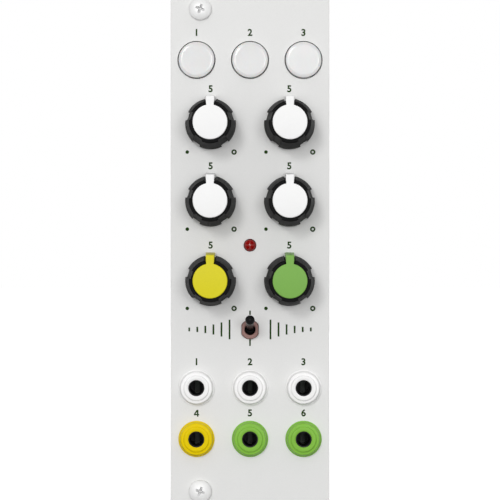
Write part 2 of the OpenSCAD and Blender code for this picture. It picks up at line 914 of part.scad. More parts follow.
module jack_bodies() {
    bore_end = control_front + jack_floor;
    color([0.13, 0.13, 0.14])
        stand()
            at_each(jack_places)
                difference() {
                    union() {
                        translate([0, (jack_up - jack_down) / 2, 0])
                            block(jack_w, jack_up + jack_down, control_front, 0);
                        rod(jack_neck_r, -eps, neck_top);
                    }
                    rod(jack_bore_r, bore_end, neck_top + eps);
                    contact_pocket(-1, tip_front);
                    contact_pocket(1, sleeve_front);
                }
}

// The pin of a contact, through the control board
module contact_pin(side, slack) {
    translate([0, side * contact_out, 0])
        block(contact_pin_w + 2 * slack, term_t + 2 * slack, control_tail, control_front + jack_floor);
}

// A leaf beside the bore, its foot behind the bore's end and its pin
module contact(side, front) {
    foot_z = control_front + jack_floor;
    leaf_y = contact_face + contact_t / 2;
    union() {
        translate([0, side * leaf_y, 0])
            block(contact_w, contact_t, foot_z - contact_t, front);
        translate([0, side * (contact_face + contact_out + term_t / 2) / 2, 0])
            block(contact_w, contact_out + term_t / 2 - contact_face, foot_z - contact_t, foot_z);
        contact_pin(side, 0);
    }
}

module jack_contacts() {
    color("goldenrod")
        stand()
            at_each(jack_places)
                union() {
                    contact(-1, tip_front);
                    contact(1, sleeve_front);
                }
}

// A ring nut: flange, drafted boss and a rounded crown that covers the end of the neck
module jack_ring(place) {
    lip_z = jack_neck_proud + pass_gap;
    crown_top = ring_boss_h + ring_crown_h;
    neck_r = jack_neck_r + push_gap;
    flare_slope = ring_flare_w / ring_crown_h;
    translate([place[0], place[1], panel_t])
        rotate_extrude()
            difference() {
                union() {
                    square([ring_r - ring_flange_edge, ring_flange_t]);
                    square([ring_r, ring_flange_t - ring_flange_edge]);
                    translate([ring_r - ring_flange_edge, ring_flange_t - ring_flange_edge])
                        circle(ring_flange_edge);
                    polygon([
                        [0, ring_flange_t],
                        [ring_boss_r + ring_draft_w, ring_flange_t],
                        [ring_boss_r, ring_boss_h - ring_edge],
                        [0, ring_boss_h - ring_edge]
                    ]);
                    square([ring_boss_r - ring_edge, ring_boss_h]);
                    translate([ring_boss_r - ring_edge, ring_boss_h - ring_edge])
                        circle(ring_edge);
                    square([ring_crown_r - ring_edge, crown_top]);
                    square([ring_crown_r, crown_top - ring_edge]);
                    translate([ring_crown_r - ring_edge, crown_top - ring_edge])
                        circle(ring_edge);
                }
                translate([0, -eps])
                    square([neck_r, lip_z + eps]);
                square([ring_hole_r, crown_top + eps]);
                polygon([
                    [0, ring_boss_h],
                    [ring_hole_r, ring_boss_h],
                    [ring_hole_r + ring_flare_w + eps * flare_slope, crown_top + eps],
                    [0, crown_top + eps]
                ]);
            }
}

module white_jack_rings() {
    color("white")
        stand()
            for (i = white_jacks)
                jack_ring(jack_places[i]);
}

module yellow_jack_ring() {
    color("gold")
        stand()
            for (i = yellow_jacks)
                jack_ring(jack_places[i]);
}

module green_jack_rings() {
    color("yellowgreen")
        stand()
            for (i = green_jacks)
                jack_ring(jack_places[i]);
}

module indicator_lens() {
    dome_z = panel_t + lamp_proud - lamp_r;
    flange_front = -pass_gap;
    color("firebrick")
        stand()
            translate([0, lamp_y, 0])
                union() {
                    rod(lamp_r + lamp_flange_w, flange_front - lamp_flange_t, flange_front);
                    rod(lamp_r, flange_front - lamp_flange_t, dome_z);
                    translate([0, 0, dome_z])
                        sphere(lamp_r);
                }
}

module lamp_pins(slack) {
    for (side = [-1, 1])
        translate([side * lamp_pitch / 2, lamp_y, 0])
            block(term_t + 2 * slack, term_t + 2 * slack, control_tail, -pass_gap - lamp_flange_t);
}

module indicator_leads() {
    color("silver")
        stand()
            lamp_pins(0);
}

module toggle_body() {
    color([0.6, 0.2, 0.15])
        stand()
            translate([0, toggle_y, 0])
                block(toggle_w, toggle_h, control_front, toggle_top);
}

// A plain round bushing with a flat on either side
module toggle_bushing() {
    color([0.6, 0.36, 0.33])
        stand()
            translate([0, toggle_y, 0])
                difference() {
                    bushing_section(0, toggle_top, bushing_top);
                    rod(toggle_bore_r, toggle_top - eps, bushing_top + eps);
                }
}

module toggle_pins(slack) {
    for (i = [-1 : 1])
        translate([0, toggle_y + i * toggle_pitch, 0])
            block(term_w + 2 * slack, term_t + 2 * slack, control_tail, control_front);
}

module toggle_terminals() {
    color("silver")
        stand()
            toggle_pins(0);
}

// A bat lever on a ball, with a short tail inside the bushing, leaning up
module toggle_lever() {
    bat_root = lever_neck_len + lever_flare;
    color([0.1, 0.1, 0.1])
        stand()
            translate([0, toggle_y, pivot_z])
                rotate([-toggle_lean, 0, 0])
                    union() {
                        rod(lever_tail_r, -lever_tail, 0);
                        sphere(lever_ball_r);
                        rod(lever_neck_r, 0, lever_neck_len);
                        translate([0, 0, lever_neck_len])
                            cylinder(r1 = lever_neck_r, r2 = bat_root_r, h = lever_flare);
                        translate([0, 0, bat_root])
                            cylinder(r1 = bat_root_r, r2 = bat_end_r, h = lever_len - bat_root);
                        translate([0, 0, lever_len])
                            sphere(lever_tip_r);
                    }
}

module board_screw_holes(from, to) {
    at_each(spacer_places)
        rod(board_screw_r + pass_gap, from - eps, to + eps);
}

module control_board() {
    color("darkgreen")
        stand()
            difference() {
                plate(board_w, board_h, board_corner_r, control_back, control_front);
                board_screw_holes(control_back, control_front);
                at_each(knob_places)
                    pot_pins(pin_gap);
                at_each(jack_places)
                    union() {
                        contact_pin(-1, pin_gap);
                        contact_pin(1, pin_gap);
                    }
                at_each(button_places)
                    switch_legs(pin_gap);
                lamp_pins(pin_gap);
                translate([0, 0, eps])
                    toggle_pins(pin_gap);
                translate([0, 0, -eps])
                    socket_pins(pin_gap);
            }
}

module main_board() {
    color("darkgreen")
        stand()
            difference() {
                plate(board_w, board_h, board_corner_r, main_back, main_front);
                board_screw_holes(main_back, main_front);
                strip_pins_set(pin_gap);
                power_pins_set(pin_gap);
            }
}

module board_spacers() {
    corner_r = spacer_across / 2 / cos(30);
    color("goldenrod")
        stand()
            at_each(spacer_places)
                difference() {
                    translate([0, 0, main_front])
                        cylinder(r = corner_r, h = stack_gap, $fn = 6);
                    rod(board_screw_r + run_gap, main_front - eps, control_back + eps);
                }
}

// A screw through a board of the stack into a spacer, drawn with its seat at z = 0
module board_screw() {
    union() {
        difference() {
            pan_head(board_head_r, board_head_h, board_dome_h);
            translate([0, 0, board_head_h])
                cross_recess(board_cross_len, board_cross_w, board_cross_deep);
        }
        rod(board_screw_r, -board_t - board_screw_in, 0);
    }
}

module board_screws() {
    color("silver")
        stand()
            at_each(spacer_places) {
                translate([0, 0, control_front])
                    board_screw();
                translate([0, 0, main_back])
                    mirror([0, 0, 1])
                        board_screw();
            }
}

// Tails of the sockets, through the control board
module socket_pins(slack) {
    at_each(strip_pin_places)
        block(pin_w + 2 * slack, pin_w + 2 * slack, control_back, control_front + pin_tail);
}

// Pins of the strips, from behind the main board into the sockets
module strip_pins_set(slack) {
    at_each(strip_pin_places)
        block(pin_w + 2 * slack, pin_w + 2 * slack, main_tail, socket_back + stack_gap / 2);
}

module board_sockets() {
    color([0.12, 0.12, 0.12])
        stand()
            for (side = [-1, 1])
                difference() {
                    translate([side * strip_x, strip_y, 0])
                        block(pin_pitch, strip_len, socket_back, control_back);
                    strip_pins_set(pass_gap);
                }
}

module board_strips() {
    color([0.12, 0.12, 0.12])
        stand()
            for (side = [-1, 1])
                difference() {
                    translate([side * strip_x, strip_y, 0])
                        block(pin_pitch, strip_len, main_front, socket_back);
                    strip_pins_set(push_gap);
                }
}

module board_pins() {
    color("gold")
        stand() {
            socket_pins(0);
            strip_pins_set(0);
        }
}

module power_pins_set(slack) {
    at_each(power_pin_places)
        block(pin_w + 2 * slack, pin_w + 2 * slack, power_pin_end, main_front + pin_tail);
}

// An open box with a key slot in its upper wall
module power_header() {
    rim_z = main_back - power_h;
    floor_z = main_back - power_floor;
    color([0.12, 0.12, 0.12])
        stand()
            difference() {
                translate([0, power_y, 0])
                    difference() {
                        block(power_l, power_w, rim_z, main_back);
                        block(power_l - 2 * power_wall, power_w - 2 * power_wall, rim_z - eps, floor_z);
                        translate([0, power_w / 2, 0])
                            block(power_key_w, 2 * power_wall + eps, rim_z - eps, floor_z);
                    }
                power_pins_set(push_gap);
            }
}

module power_pins() {
    color("gold")
        stand()
            power_pins_set(0);
}

// A flat chip on the back of the main board, with a dimple beside its first pin
module chip(l, w) {
    difference() {
        block(l, w, main_back - chip_t, main_back);
        translate([-l / 2 + dimple_inset, w / 2 - dimple_inset, 0])
            rod(dimple_r, main_back - chip_t - eps, main_back - chip_t + dimple_deep);
    }
}

// Bent leads along a chip's side, from the middle of its edge down to the board
module lead_row(len, out, pitch, w) {
    count = round(len / pitch);
    shoulder = -chip_t / 2;
    translate([-(count - 1) * pitch / 2, out, main_back])
        for (i = [0 : count - 1])
            translate([i * pitch, 0, 0])
                side_view(w)
                    polygon([
                        [-lead_knee, shoulder],
                        [lead_knee, shoulder],
                        [lead_knee, 0],
                        [lead_reach, 0],
                        [lead_reach, -lead_t],
                        [lead_knee + lead_t, -lead_t],
                        [lead_knee + lead_t, shoulder - lead_t],
                        [-lead_knee, shoulder - lead_t]
                    ]);
}

module processor_chip() {
    color([0.1, 0.1, 0.11])
        stand()
            translate([processor_place[0], processor_place[1], 0])
                union() {
                    chip(processor_w, processor_w);
                    for (turn = [0, 90, 180, 270])
                        rotate([0, 0, turn])
                            lead_row(processor_w - 2 * processor_corner, processor_w / 2,
                                processor_pitch, processor_lead_w);
                }
}

// A chip with leads along its two long sides
module two_row_chip(place, l, w) {
    translate([place[0], place[1], 0])
        union() {
            chip(l, w);
            for (turn = [0, 180])
                rotate([0, 0, turn])
                    lead_row(l, w / 2, lead_pitch, lead_w);
        }
}

module converter_chip() {
    color([0.1, 0.1, 0.11])
        stand()
            two_row_chip(converter_place, converter_l, converter_w);
}

module amplifier_chips() {
    color([0.1, 0.1, 0.11])
        stand()
            for (place = amplifier_places)
                two_row_chip(place, amplifier_l, amplifier_w);
}

// A housing with a heat tab above it and two legs below
module regulators() {
    color([0.1, 0.1, 0.11])
        stand()
            at_each(regulator_places)
                union() {
                    block(regulator_w, regulator_l, main_back - regulator_t, main_back);
                    translate([0, (regulator_l + tab_reach) / 2, 0])
                        block(tab_w, tab_reach, main_back - tab_t, main_back);
                    for (side = [-1, 1])
                        translate([side * leg_x, -(regulator_l + leg_reach) / 2, 0])
                            block(leg_w, leg_reach, main_back - tab_t, main_back);
                }
}

// A block with round ends on the back of the main board
module round_ended(w, l, t) {
    end_y = (l - w) / 2;
    block(w, 2 * end_y, main_back - t, main_back);
    for (end = [-1, 1])
        translate([0, end * end_y, 0])
            rod(w / 2, main_back - t, main_back);
}

// A low metal can with round ends, on a flange
module crystal() {
    color("silver")
        stand()
            translate([crystal_place[0], crystal_place[1], 0])
                union() {
                    round_ended(crystal_w, crystal_l, crystal_h);
                    round_ended(crystal_w + 2 * crystal_flange_w, crystal_l + 2 * crystal_flange_w,
                        crystal_flange_t);
                }
}

// A square base with two corners cut off
module capacitor_bases() {
    half = capacitor_base_w / 2;
    cut = capacitor_base_cut;
    color([0.12, 0.12, 0.12])
        stand()
            at_each(capacitor_places)
                translate([0, 0, main_back - capacitor_base_t])
                    linear_extrude(capacitor_base_t)
                        polygon([
                            [-half, -half],
                            [half, -half],
                            [half, half - cut],
                            [half - cut, half],
                            [cut - half, half],
                            [-half, half - cut]
                        ]);
}

// A can with a groove rolled in near its base
module capacitor_cans() {
    can_top = main_back - capacitor_base_t;
    groove_out = capacitor_r + capacitor_groove_r / 2;
    color("silver")
        stand()
            at_each(capacitor_places)
                translate([0, 0, can_top - capacitor_h])
                    difference() {
                        rod(capacitor_r, 0, capacitor_h);
                        rotate_extrude()
                            translate([groove_out, capacitor_h - capacitor_groove_up])
                                circle(capacitor_groove_r);
                    }
}

front_panel();
rail_screws();
control_board();
main_board();
board_spacers();
board_screws();
board_sockets();
board_strips();
board_pins();
power_header();
power_pins();
processor_chip();
converter_chip();
amplifier_chips();
regulators();
crystal();
capacitor_cans();
capacitor_bases();
pot_bodies();
pot_terminals();
pot_nuts();
pot_washers();
jack_bodies();
jack_contacts();
white_jack_rings();
yellow_jack_ring();
green_jack_rings();
button_switches();
button_lamps();
indicator_lens();
indicator_leads();
toggle_body();
toggle_bushing();
toggle_terminals();
toggle_lever();
for (i = [0 : len(knob_names) - 1]) {
    name = knob_names[i];
    knob_body(knob_places[i]);
    pointer_cap(knob_places[i], cap_colours[i]);
    pot_shaft(knob_places[i]);
}
for (i = [0 : len(button_names) - 1]) {
    name = button_names[i];
    button_cap(button_places[i]);
    button_stem(button_places[i]);
}
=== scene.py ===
import random
from math import acos, asin, atan2, cos, degrees, hypot, pi, radians, sin, sqrt, tan

import bmesh
import bpy
from mathutils import Matrix, Vector


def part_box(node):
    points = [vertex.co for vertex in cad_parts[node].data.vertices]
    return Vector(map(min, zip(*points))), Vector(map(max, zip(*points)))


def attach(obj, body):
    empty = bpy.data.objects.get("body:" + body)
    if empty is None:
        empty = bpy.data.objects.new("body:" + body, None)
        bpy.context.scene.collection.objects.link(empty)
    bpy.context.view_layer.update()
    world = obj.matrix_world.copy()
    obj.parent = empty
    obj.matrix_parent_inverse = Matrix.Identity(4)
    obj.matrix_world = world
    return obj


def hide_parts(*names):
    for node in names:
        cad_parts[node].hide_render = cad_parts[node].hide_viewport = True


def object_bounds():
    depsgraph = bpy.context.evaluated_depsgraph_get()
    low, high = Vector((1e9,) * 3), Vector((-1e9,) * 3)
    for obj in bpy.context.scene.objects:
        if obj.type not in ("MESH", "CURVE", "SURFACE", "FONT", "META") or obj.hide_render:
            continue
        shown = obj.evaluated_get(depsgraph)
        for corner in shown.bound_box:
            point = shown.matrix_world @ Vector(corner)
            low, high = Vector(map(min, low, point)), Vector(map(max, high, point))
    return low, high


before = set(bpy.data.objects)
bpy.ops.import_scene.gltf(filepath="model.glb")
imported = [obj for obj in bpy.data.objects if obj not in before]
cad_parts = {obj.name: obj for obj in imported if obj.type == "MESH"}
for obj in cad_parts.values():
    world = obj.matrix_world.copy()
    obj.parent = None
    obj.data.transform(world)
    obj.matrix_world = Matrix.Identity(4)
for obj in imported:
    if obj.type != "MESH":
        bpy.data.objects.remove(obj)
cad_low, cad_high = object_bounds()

scene = bpy.context.scene
scene.view_settings.view_transform = "Standard"

# Pieces are drawn in millimetres, face up: x to the right, y up the panel and z out of its front,
# with z = 0 on the panel's rear face. UPRIGHT stands them in the frame, in metres.
MM = 0.001
MID_X = (cad_low.x + cad_high.x) / 2 / MM
UPRIGHT = Matrix.Translation((MID_X * MM, 0, 0)) @ Matrix.Rotation(pi / 2, 4, "X") @ Matrix.Scale(MM, 4)


def drawn(point):
    """A point of the frame in drawing millimetres."""
    return Vector((point.x / MM - MID_X, point.z / MM, -point.y / MM))


def drawn_box(node):
    """Lowest and highest corner of a CAD node in drawing millimetres."""
    corners = [drawn(corner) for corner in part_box(node)]
    return Vector(map(min, *corners)), Vector(map(max, *corners))


def middle(node):
    """Middle of a CAD node on the panel."""
    low, high = drawn_box(node)
    return (low.x + high.x) / 2, (low.y + high.y) / 2


def centred(count, pitch):
    """Distances of a row of places from the row's middle."""
    return [(i - (count - 1) / 2) * pitch for i in range(count)]


def around(centres, offsets):
    """The places at each offset from each centre."""
    return [(x + across, y + up) for x, y in centres for across, up in offsets]


# Panel and its holes
PANEL_T = 2
PANEL_CORNER_R = 0.5
PANEL_EDGE = 0.12
SCREW_X, SCREW_Y = -12.65, 61.25
SCREW_PLACES = [(SCREW_X, SCREW_Y), (SCREW_X, -SCREW_Y)]
HOLE_STEPS = 120
TOGGLE_HOLE_R, TOGGLE_HOLE_W, TOGGLE_HOLE_STEPS = 2.45, 4.3, 30

# Controls
KNOBS = ("time", "filter", "feedback", "fidelity", "input", "mix")
KNOB_PLACES = {name: middle(f"{name}_pot_shaft") for name in KNOBS}
BUTTONS = ("left", "middle", "right")
BUTTON_PLACES = {name: middle(f"{name}_button_stem") for name in BUTTONS}
JACK_X = 13.6
JACK_ROWS = (-35, -48)
JACK_PLACES = [(side * JACK_X, y) for y in JACK_ROWS for side in (-1, 0, 1)]
LAMP_PLACE = middle("indicator_lens")
TOGGLE_PLACE = middle("toggle_bushing")
# radius and places of the panel's round holes
HOLES = [(1.6, SCREW_PLACES), (4.8, BUTTON_PLACES.values()), (3.6, KNOB_PLACES.values())]
HOLES += [(3.1, JACK_PLACES), (1.6, [LAMP_PLACE])]

# Rear faces of the boards
CONTROL_BACK, MAIN_BACK = -11.6, -24.2

# Finishes by name, and the slot of each
FINISHES, SLOTS = {}, {}

# Meshes: distances at which points are one, angles in degrees, reach of cutters past what they cut, steps
WELD, NODE_WELD = 1e-4, 0.002
FLAT_ANGLE, SHARP_ANGLE, SMOOTH_ANGLE = 1, 30, 35
CUT_OVER = 1
FINE_STEPS, ROUND_STEPS = 96, 48


def rounded(corners, closed=True, steps=4):
    """Points of an outline whose corners are (x, y) or, where they are round, (x, y, radius)."""
    points = []
    last = len(corners) - 1
    for i, corner in enumerate(corners):
        here = Vector(corner[:2])
        radius = corner[2] if len(corner) > 2 else 0
        if radius == 0 or (not closed and i in (0, last)):
            points.append(tuple(here))
            continue
        back = (Vector(corners[i - 1][:2]) - here).normalized()
        ahead = (Vector(corners[(i + 1) % len(corners)][:2]) - here).normalized()
        half = back.angle(ahead) / 2
        centre = here + (back + ahead).normalized() * (radius / sin(half))
        start = here + back * (radius / tan(half)) - centre
        end = here + ahead * (radius / tan(half)) - centre
        first = atan2(start.y, start.x)
        sweep = (atan2(end.y, end.x) - first + pi) % (2 * pi) - pi
        for k in range(steps + 1):
            angle = first + sweep * k / steps
            points.append((centre.x + radius * cos(angle), centre.y + radius * sin(angle)))
    return points


def arc(x, y, radius, start, end, steps):
    """Points of an arc about (x, y) between two angles in degrees, both ends included."""
    angles = [radians(start + (end - start) * k / steps) for k in range(steps + 1)]
    return [(x + radius * cos(a), y + radius * sin(a)) for a in angles]


def circle(x, y, radius, steps):
    """Points of a whole circle."""
    return arc(x, y, radius, 0, 360 - 360 / steps, steps - 1)


def rectangle(w, h, corner, steps=4):
    """Outline of a rectangle with round corners about the origin."""
    sides = [(w / 2, -h / 2), (w / 2, h / 2), (-w / 2, h / 2), (-w / 2, -h / 2)]
    return rounded([(x, y, corner) for x, y in sides], steps=steps)


def released(bm):
    """The mesh of a bmesh, which goes."""
    mesh = bpy.data.meshes.new("part")
    bm.to_mesh(mesh)
    bm.free()
    return mesh


def skinned(sections, capped=False, closed=False):
    """A clean mesh through rings of as many points each, faces outwards."""
    bm = bmesh.new()
    rings = [[bm.verts.new(point) for point in section] for section in sections]
    if closed:
        rings.append(rings[0])
    for lower, upper in zip(rings, rings[1:]):
        for k in range(len(lower)):
            bm.faces.new((lower[k - 1], lower[k], upper[k], upper[k - 1]))
    if capped:
        bm.faces.new(rings[0])
        bm.faces.new(rings[-1])
    bmesh.ops.remove_doubles(bm, verts=bm.verts, dist=WELD)
    bmesh.ops.recalc_face_normals(bm, faces=bm.faces)
    return released(bm)


def loft(sections):
    """A solid through rings of points, closed at both ends."""
    return skinned(sections, capped=True)


def extruded(outline, low, high):
    """An outline drawn up between two heights."""
    return loft([[(x, y, z) for x, y in outline] for z in (low, high)])


def turned(outline, steps=64, closed=False):
    """A mesh turned from (radius, height) points, from axis to axis or as a closed ring."""
    turns = [(cos(a), sin(a)) for a in (2 * pi * k / steps for k in range(steps))]
    return skinned([[(r * c, r * s, h) for c, s in turns] for r, h in outline], closed=closed)


def slab(w, h, low, high, corner=0.2, edge=0.08, draft=0.0, steps=2):
    """A block with round corners and chamfered edges, narrower by its draft at the far face."""
    sections = []
    for z, inset in ((low, edge), (low + edge, 0), (high - edge, draft), (high, draft + edge)):
        outline = rectangle(w - 2 * inset, h - 2 * inset, corner, steps)
        sections.append([(x, y, z) for x, y in outline])
    return loft(sections)


def joined(*meshes):
    """One mesh of several."""
    bm = bmesh.new()
    for mesh in meshes:
        bm.from_mesh(mesh)
    return released(bm)


def moved(mesh, x=0, y=0, z=0, turn=0):
    """A copy of a mesh turned in degrees about z, then shifted."""
    copy = mesh.copy()
    copy.transform(Matrix.Translation((x, y, z)) @ Matrix.Rotation(radians(turn), 4, "Z"))
    return copy


def linked(data, name="shaping"):
    """An object in the scene for its data."""
    obj = bpy.data.objects.new(name, data)
    scene.collection.objects.link(obj)
    return obj


def settled(obj):
    """The object's finished mesh with its modifiers applied; the object goes."""
    depsgraph = bpy.context.evaluated_depsgraph_get()
    mesh = bpy.data.meshes.new_from_object(obj.evaluated_get(depsgraph))
    bpy.data.objects.remove(obj)
    return mesh


def bevelled(mesh, width, segments=3):
    """The mesh with its sharp edges rounded."""
    obj = linked(mesh)
    bevel = obj.modifiers.new("edges", "BEVEL")
    bevel.width = width
    bevel.segments = segments
    bevel.limit_method = "ANGLE"
    bevel.angle_limit = radians(SHARP_ANGLE)
    return settled(obj)


def combined(mesh, other, operation):
    """The mesh with another one cut out of it or fused to it."""
    obj = linked(mesh)
    tool = linked(other)
    boolean = obj.modifiers.new("shape", "BOOLEAN")
    boolean.operation = operation
    boolean.solver = "EXACT"
    boolean.object = tool
    mesh = settled(obj)
    bpy.data.objects.remove(tool)
    return mesh


def piece(name, mesh, finish, body="module", stands_for=(), smooth=SMOOTH_ANGLE):
    """Stands a drawn mesh in the frame as a finished piece of a body."""
    mesh.transform(UPRIGHT)
    return fitted(name, mesh, finish, body, stands_for, smooth)


def fitted(name, mesh, finish, body, stands_for, smooth):
    """Ties a mesh that is already in the frame to its body and the nodes it stands for."""
    mesh.name = name
    mesh.materials.clear()
    mesh.materials.append(FINISHES[finish])
    mesh.shade_smooth()
    mesh.set_sharp_from_angle(angle=radians(smooth))
    obj = linked(mesh, name)
    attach(obj, body)
    if stands_for:
        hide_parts(*stands_for)
    return obj


def softened(node, name, finish, edge, segments=2):
    """A copy of a CAD node with its sharp edges rounded, which stands for the node."""
    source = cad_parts[node].data
    bm = bmesh.new()
    corners = [bm.verts.new(vertex.co / MM) for vertex in source.vertices]
    for polygon in source.polygons:
        bm.faces.new([corners[i] for i in polygon.vertices])
    bmesh.ops.remove_doubles(bm, verts=bm.verts, dist=NODE_WELD)
    flat = radians(FLAT_ANGLE)
    bmesh.ops.dissolve_limit(bm, angle_limit=flat, verts=bm.verts, edges=bm.edges)
    mesh = bevelled(released(bm), edge, segments)
    mesh.transform(Matrix.Scale(MM, 4))
    fitted(name, mesh, finish, "module", [node], SMOOTH_ANGLE)


# Node trees
THREAD_SIDES = 40


def wire(tree, node, inputs):
    """Gives inputs of a node a value or a link each."""
    for key, value in inputs.items():
        if isinstance(value, bpy.types.NodeSocket):
            tree.links.new(value, node.inputs[key])
        else:
            node.inputs[key].default_value = value


def add_node(tree, kind, inputs=None, **settings):
    """The outputs of a new node with its settings and inputs."""
    made = tree.nodes.new(kind)
    for key, value in settings.items():
        setattr(made, key, value)
    wire(tree, made, inputs or {})
    return made.outputs


def maths(tree, operation, *values):
    """Output of a Math node."""
    return add_node(tree, "ShaderNodeMath", dict(enumerate(values)), operation=operation)[0]


def vector(tree, **parts):
    """Output of a Combine XYZ node."""
    return add_node(tree, "ShaderNodeCombineXYZ", parts)[0]


def instanced(tree, points, part, **inputs):
    """Output of an Instance on Points node."""
    inputs.update(Points=points, Instance=part)
    return add_node(tree, "GeometryNodeInstanceOnPoints", inputs)[0]


def geometry_tree(name, *numbers, **inputs):
    """A Geometry Nodes tree with a finish and other named inputs, and the sockets that give them."""
    inputs.update({label: "Float" for label in numbers}, Finish="Material")
    tree = bpy.data.node_groups.new(name, "GeometryNodeTree")
    tree.interface.new_socket("Geometry", in_out="INPUT", socket_type="NodeSocketGeometry")
    for label, kind in inputs.items():
        tree.interface.new_socket(label, in_out="INPUT", socket_type="NodeSocket" + kind)
    tree.interface.new_socket("Geometry", in_out="OUTPUT", socket_type="NodeSocketGeometry")
    return tree, add_node(tree, "NodeGroupInput")


def end_tree(tree, geometry, given):
    """Ends a tree in Realize Instances and Set Material."""
    real = add_node(tree, "GeometryNodeRealizeInstances", {"Geometry": geometry})[0]
    look = {"Geometry": real, "Material": given["Finish"]}
    painted = add_node(tree, "GeometryNodeSetMaterial", look)
    add_node(tree, "NodeGroupOutput", {"Geometry": painted[0]})
    return tree


def make_set_out_tree():
    """A part at each point, turned about z by the point's own turn."""
    tree, given = geometry_tree("set_out", Part="Object")
    part = add_node(tree, "GeometryNodeObjectInfo", {"Object": given["Part"]})["Geometry"]
    turn = add_node(tree, "GeometryNodeInputNamedAttribute", {"Name": "turn"}, data_type="FLOAT")
    euler = vector(tree, Z=turn["Attribute"])
    rotation = add_node(tree, "FunctionNodeEulerToRotation", {"Euler": euler})[0]
    return end_tree(tree, instanced(tree, given["Geometry"], part, Rotation=rotation), given)


def make_thread_tree():
    """A screw thread: a cylinder whose side rises and falls along a helix."""
    tree, given = geometry_tree("thread", "Radius", "Depth", "Pitch", "Length", Rings="Int")
    size = {"Side Segments": given["Rings"], "Radius": given["Radius"], "Depth": given["Length"]}
    rod = add_node(tree, "GeometryNodeMeshCylinder", {"Vertices": THREAD_SIDES, **size})
    place = add_node(tree, "GeometryNodeInputPosition")[0]
    along = add_node(tree, "ShaderNodeSeparateXYZ", {0: place})
    turn = maths(tree, "MULTIPLY", maths(tree, "ARCTAN2", along["Y"], along["X"]), 0.5 / pi)
    phase = maths(tree, "ADD", maths(tree, "DIVIDE", along["Z"], given["Pitch"]), turn)
    valley = maths(tree, "MULTIPLY", maths(tree, "PINGPONG", phase, 0.5), 2.0)
    share = maths(tree, "MULTIPLY", valley, maths(tree, "DIVIDE", given["Depth"], given["Radius"]))
    keep = maths(tree, "SUBTRACT", 1.0, share)
    x, y = (maths(tree, "MULTIPLY", along[axis], keep) for axis in "XY")
    shifted = vector(tree, X=x, Y=y, Z=along["Z"])
    cut = add_node(tree, "GeometryNodeSetPosition", {"Geometry": rod[0], "Position": shifted})
    return end_tree(tree, cut[0], given)


def make_fading_tree():
    """A row of bars about a line, each lower than the last by one ratio."""
    numbers = ("Pitch", "Height", "Ratio", "Width", "Thickness")
    tree, given = geometry_tree("fading_bars", *numbers, Count="Int")
    steps = {"Count": given["Count"], "Offset": vector(tree, X=given["Pitch"])}
    line = add_node(tree, "GeometryNodeMeshLine", steps, mode="OFFSET")
    index = add_node(tree, "GeometryNodeInputIndex")[0]
    height = maths(tree, "MULTIPLY", maths(tree, "POWER", given["Ratio"], index), given["Height"])
    bar = add_node(tree, "GeometryNodeMeshCube")["Mesh"]
    size = vector(tree, X=given["Width"], Y=height, Z=given["Thickness"])
    return end_tree(tree, instanced(tree, line[0], bar, Scale=size), given)


SET_OUT = make_set_out_tree()
THREAD = make_thread_tree()
FADING = make_fading_tree()


def grown(tree, points=((0, 0, 0),), turns=None, **values):
    """The plain mesh that a tree makes from points, with its named inputs set."""
    mesh = bpy.data.meshes.new("points")
    mesh.from_pydata(points, [], [])
    turn = mesh.attributes.new("turn", "FLOAT", "POINT")
    turn.data.foreach_set("value", [radians(t) for t in turns or [0] * len(points)])
    host = linked(mesh)
    modifier = host.modifiers.new("grow", "NODES")
    modifier.node_group = tree
    for item in tree.interface.items_tree:
        if item.in_out == "INPUT" and item.name in values:
            modifier[item.identifier] = values[item.name]
    return settled(host)


def set_out(part, places, finish, z=0, turns=None):
    """One mesh of a part repeated at places on the panel or a board."""
    model = linked(part)
    mesh = grown(SET_OUT, [(x, y, z) for x, y in places], turns, Part=model, Finish=FINISHES[finish])
    bpy.data.objects.remove(model)
    return mesh


# Finishes: scales of the noise, how far it spreads tint and polish, and depths of relief and inner light
FINE_DETAIL, MOTTLE_DETAIL, MOTTLE_SCALE = 4, 3, 140
TINT_FROM = (0.35, 0.65)
POLISH_FROM, POLISH_SPREAD = (0.3, 0.7), 0.12
RELIEF_DEPTH, INNER_DEPTH, COAT_ROUGH = 0.00004, 0.001, 0.08


def noise(tree, place, scale, detail):
    """Output of a Noise Texture node."""
    inputs = {"Vector": place, "Scale": scale, "Detail": detail}
    return add_node(tree, "ShaderNodeTexNoise", inputs)[0]


def spread(tree, value, between, low=0.0, high=1.0):
    """Output of a Map Range node."""
    ends = {"From Min": between[0], "From Max": between[1], "To Min": low, "To Max": high}
    return add_node(tree, "ShaderNodeMapRange", {"Value": value, **ends})[0]


